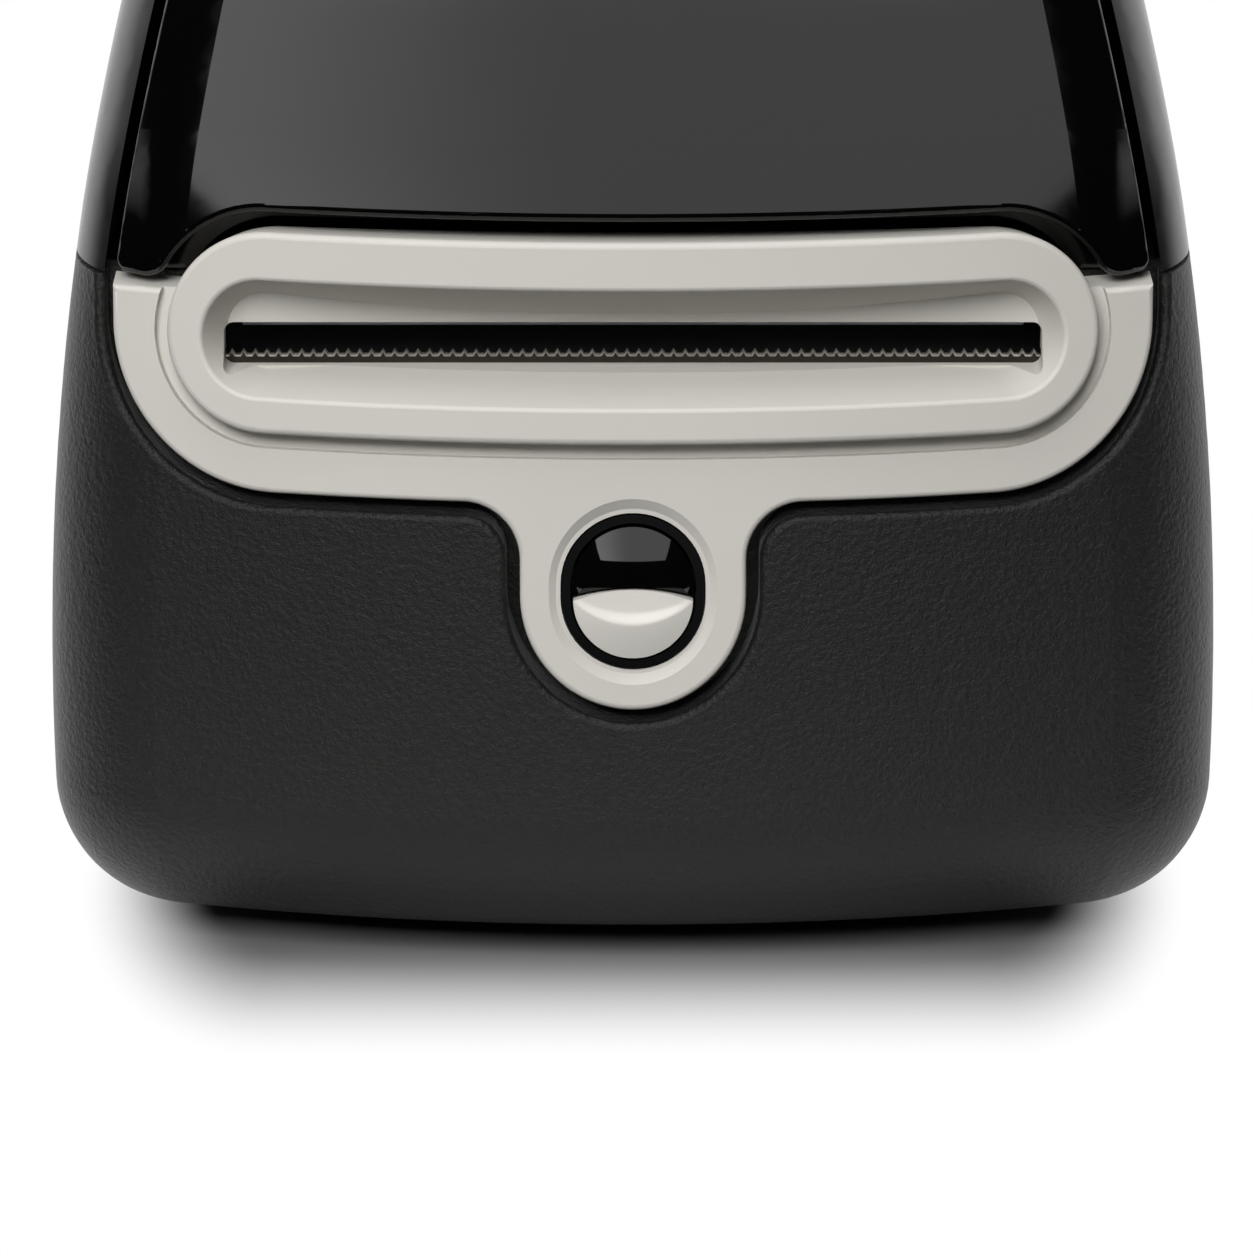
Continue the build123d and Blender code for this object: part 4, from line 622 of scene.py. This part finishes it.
lens = cushion(
    "domed_status_lens",
    cap_radius,
    lambda across: split_middle + arc(split_radius + split_gap, across),
    lambda across: stretch + arc(cap_radius, across),
    lens_height,
)
finish, tree, shader, coords = start_finish("smoked_polycarbonate", "030303", 0.03, IOR=1.58)
smear = add_node(tree, "ShaderNodeTexNoise", {"Vector": coords, "Scale": 1 / (smear_mm * mm), "Detail": 3.0})
tint(tree, shader, smear.outputs["Fac"], "020202", "050505")
sheen_range(tree, shader, smear.outputs["Fac"], 0.02, 0.06)
lens.data.materials.append(finish)
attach(lens, "chassis")
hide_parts("status_lens")

# Feed button: off-white ABS in the lower half of the sleeve, rubbed smooth by fingers. Its upper part
# is scooped out to a shallow floor, and the crest between scoop and dome is rounded over.
cap_half_width = 0.999 * cap_radius
cap_dome = 19.0 * mm
cap_proud = 1.7 * mm
scoop_radius = 12.7 * mm
scoop_middle = 10.2 * mm
scoop_depth = 0.95 * mm
scoop_slope = math.radians(38)
crest_blend = 0.55 * mm


def soft_low(first, second, blend):
    """The lower of two heights, rounded over where they meet."""
    near = max(blend - abs(first - second), 0) / blend
    return min(first, second) - near**2 * blend / 4


def button_height(across, up):
    """Height of the button above the front: a dome with a scoop taken out of its upper part."""
    dome = cap_proud - cap_dome + arc(cap_dome, math.hypot(across, up - stretch / 2))
    inside = scoop_radius - math.hypot(across, up - scoop_middle)
    flank = cap_proud - inside / math.tan(scoop_slope)
    scoop = -soft_low(-flank, scoop_depth - cap_proud, crest_blend)
    return soft_low(dome, scoop, crest_blend)


button = cushion(
    "scooped_feed_button",
    cap_half_width,
    lambda across: -arc(cap_radius, across),
    lambda across: split_middle + arc(split_radius - split_gap, across),
    button_height,
)
button.data.materials.append(
    moulded("rubbed_white_abs", ("d2cfc8", "d8d5ce"), (0.3, 0.42), grain_mm=0.25, depth_mm=0.006)
)
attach(button, "button")
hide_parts("feed_button")

# Floor: a round sheet of paper. The printer stands near its front edge, and beyond it is a dark room, which the lens
# and the mouth show.
# Near the printer the sheet is dark grey. This is a painted shadow round the footprint, lying under the lamps' own
# shadow, and it fades out a few centimetres away. Further out the sheet is plain white to the camera, like the
# backdrop.
sheet_radius = 0.45
sheet_back = 0.31
shadow_half_x = 39 * mm
shadow_half_y = 60 * mm
shadow_corner = 20 * mm
shadow_reach = 53 * mm
side_stretch = 2.3
sheet = bmesh.new()
bmesh.ops.create_circle(sheet, cap_ends=True, segments=96, radius=sheet_radius)
bmesh.ops.translate(sheet, verts=list(sheet.verts), vec=(0, sheet_back, 0))
floor = place_piece("paper_sheet", sheet)


def mirror_rays(tree):
    """The light path, and 1 for a ray that comes off gloss or through glass."""
    path = add_node(tree, "ShaderNodeLightPath")
    mirror = add_node(
        tree,
        "ShaderNodeMath",
        {0: path.outputs["Is Glossy Ray"], 1: path.outputs["Is Transmission Ray"]},
        operation="MAXIMUM",
    )
    return path, mirror


# Dark grey paper: a painted shadow near the printer, which the mask below fades to white with distance from the
# footprint.
finish, tree, shader, coords = start_finish("painted_shadow_paper", "6a6a6a", 0.9, Specular_IOR_Level=0.0)
mirrored = add_node(tree, "ShaderNodeVectorMath", {0: coords}, operation="ABSOLUTE")
beyond = add_node(
    tree,
    "ShaderNodeVectorMath",
    {0: mirrored.outputs["Vector"], 1: (shadow_half_x, shadow_half_y, 0)},
    operation="SUBTRACT",
)
clipped = add_node(
    tree, "ShaderNodeVectorMath", {0: beyond.outputs["Vector"], 1: (0, 0, 0)}, operation="MAXIMUM"
)
stretched = add_node(
    tree,
    "ShaderNodeVectorMath",
    {0: clipped.outputs["Vector"], 1: (side_stretch, 1, 1)},
    operation="MULTIPLY",
)
away = add_node(tree, "ShaderNodeVectorMath", {0: stretched.outputs["Vector"]}, operation="LENGTH")
plain = add_node(
    tree,
    "ShaderNodeMapRange",
    {"Value": away.outputs["Value"], "From Min": shadow_corner, "From Max": shadow_reach},
    interpolation_type="SMOOTHSTEP",
)
path, mirror = mirror_rays(tree)
seen = add_node(
    tree, "ShaderNodeMath", {0: path.outputs["Is Camera Ray"], 1: mirror.outputs["Value"]}, operation="MAXIMUM"
)
# Where the mask is low, near the footprint, the grey painted shadow shows; further out the paper is white.
blend = add_node(
    tree, "ShaderNodeMath", {0: plain.outputs["Result"], 1: seen.outputs["Value"]}, operation="MULTIPLY"
)
white = add_node(tree, "ShaderNodeEmission")
cover = add_node(
    tree,
    "ShaderNodeMixShader",
    {0: blend.outputs["Value"], 1: shader.outputs["BSDF"], 2: white.outputs["Emission"]},
)
tree.links.new(cover.outputs["Shader"], tree.nodes["Material Output"].inputs["Surface"])
floor.data.materials.append(finish)

# Surroundings: a white backdrop behind the printer and a soft wall at each side. Between these and the
# lamps it is dark, which gives the gloss its black bands.
# The camera sees plain white beyond the floor; gloss and glass see it where the backdrop stands.
side_level = 0.012
drop_start = 0.35
drop_full = 0.65
drop_light = 0.5
side_start = 0.88
side_full = 0.99
side_glow = 1.8
glow_start = 0.1
glow_full = 0.4
world = bpy.data.worlds.new("studio")
bpy.context.scene.world = world
world.use_nodes = True
tree = world.node_tree
way = add_node(tree, "ShaderNodeTexCoord").outputs["Generated"]
parts = add_node(tree, "ShaderNodeSeparateXYZ", {"Vector": way})
behind = add_node(
    tree,
    "ShaderNodeMapRange",
    {"Value": parts.outputs["Y"], "From Min": drop_start, "From Max": drop_full, "To Min": side_level},
)
path, mirror = mirror_rays(tree)
share = add_node(tree, "ShaderNodeMapRange", {"Value": mirror.outputs["Value"], "To Min": drop_light})
shown = add_node(
    tree, "ShaderNodeMath", {0: behind.outputs["Result"], 1: share.outputs["Result"]}, operation="MULTIPLY"
)
aside = add_node(tree, "ShaderNodeMath", {0: parts.outputs["X"]}, operation="ABSOLUTE")
beside = add_node(
    tree,
    "ShaderNodeMapRange",
    {"Value": aside.outputs["Value"], "From Min": side_start, "From Max": side_full, "To Max": side_glow},
)
above = add_node(
    tree,
    "ShaderNodeMapRange",
    {"Value": parts.outputs["Z"], "From Min": glow_start, "From Max": glow_full},
)
glow = add_node(
    tree, "ShaderNodeMath", {0: beside.outputs["Result"], 1: above.outputs["Result"]}, operation="MULTIPLY"
)
light = add_node(
    tree, "ShaderNodeMath", {0: shown.outputs["Value"], 1: glow.outputs["Value"]}, operation="MAXIMUM"
)
level = add_node(
    tree, "ShaderNodeMath", {0: light.outputs["Value"], 1: path.outputs["Is Camera Ray"]}, operation="MAXIMUM"
)
sky = tree.nodes["Background"]
sky.inputs["Color"].default_value = (1, 1, 1, 1)
tree.links.new(level.outputs["Value"], sky.inputs["Strength"])


# Lamps: a key box high at the left front lights the matt faces. A tall panel behind the camera,
# brighter at its left, is what the gloss mirrors. A weak box overhead lights the top.
def soft_light(name, width, depth, radiance, place, target, lights_matt=True, lights_gloss=True):
    """A rectangular lamp of even brightness, turned to a target."""
    lamp = bpy.data.lights.new(name, "AREA")
    lamp.shape = "RECTANGLE"
    lamp.size = width
    lamp.size_y = depth
    lamp.energy = radiance * math.pi * width * depth
    light = bpy.data.objects.new(name, lamp)
    bpy.context.scene.collection.objects.link(light)
    light.location = place
    light.rotation_euler = (Vector(target) - Vector(place)).to_track_quat("-Z", "Y").to_euler()
    light.visible_diffuse = lights_matt
    light.visible_glossy = lights_gloss
    return lamp


front_middle = (0, -0.09, 0.08)
body_middle = (0, -0.05, 0.05)
panel_left = 2.0
panel_even_from = 0.47
soft_light(
    "key_box",
    width=0.9,
    depth=0.7,
    radiance=12.8,
    place=(-0.35, -1.2, 1.05),
    target=front_middle,
    lights_gloss=False,
)
soft_light("top_box", width=0.8, depth=0.6, radiance=3.0, place=(0, -0.2, 1.3), target=body_middle)
panel = soft_light(
    "front_panel",
    width=1.95,
    depth=2.5,
    radiance=1.22,
    place=(0, -1.35, 1.065),
    target=front_middle,
    lights_matt=False,
)
panel.use_nodes = True
tree = panel.node_tree
spot = add_node(tree, "ShaderNodeNewGeometry").outputs["Parametric"]
across = add_node(tree, "ShaderNodeSeparateXYZ", {"Vector": spot})
fade = add_node(
    tree,
    "ShaderNodeMapRange",
    {"Value": across.outputs["X"], "From Max": panel_even_from, "To Min": panel_left, "To Max": 1.0},
    interpolation_type="SMOOTHSTEP",
)
tree.links.new(fade.outputs["Result"], tree.nodes["Emission"].inputs["Strength"])

# Camera: above the front, looking down by 20 degrees through a long lens.
# Its place was fitted to the photo's outline, so it isn't quite in the middle.
camera_distance = 0.7
camera_rise = math.radians(20)
camera = bpy.data.cameras.new("camera")
camera.lens = 189.5
camera.sensor_width = 36.0
view = bpy.data.objects.new("camera", camera)
bpy.context.scene.collection.objects.link(view)
look_at = Vector((-0.64, -89.6, 39.8)) * mm
view.location = look_at + camera_distance * Vector((0, -math.cos(camera_rise), math.sin(camera_rise)))
view.rotation_euler = (math.radians(90) - camera_rise, 0, 0)
bpy.context.scene.camera = view
bpy.context.scene.view_settings.view_transform = "Standard"
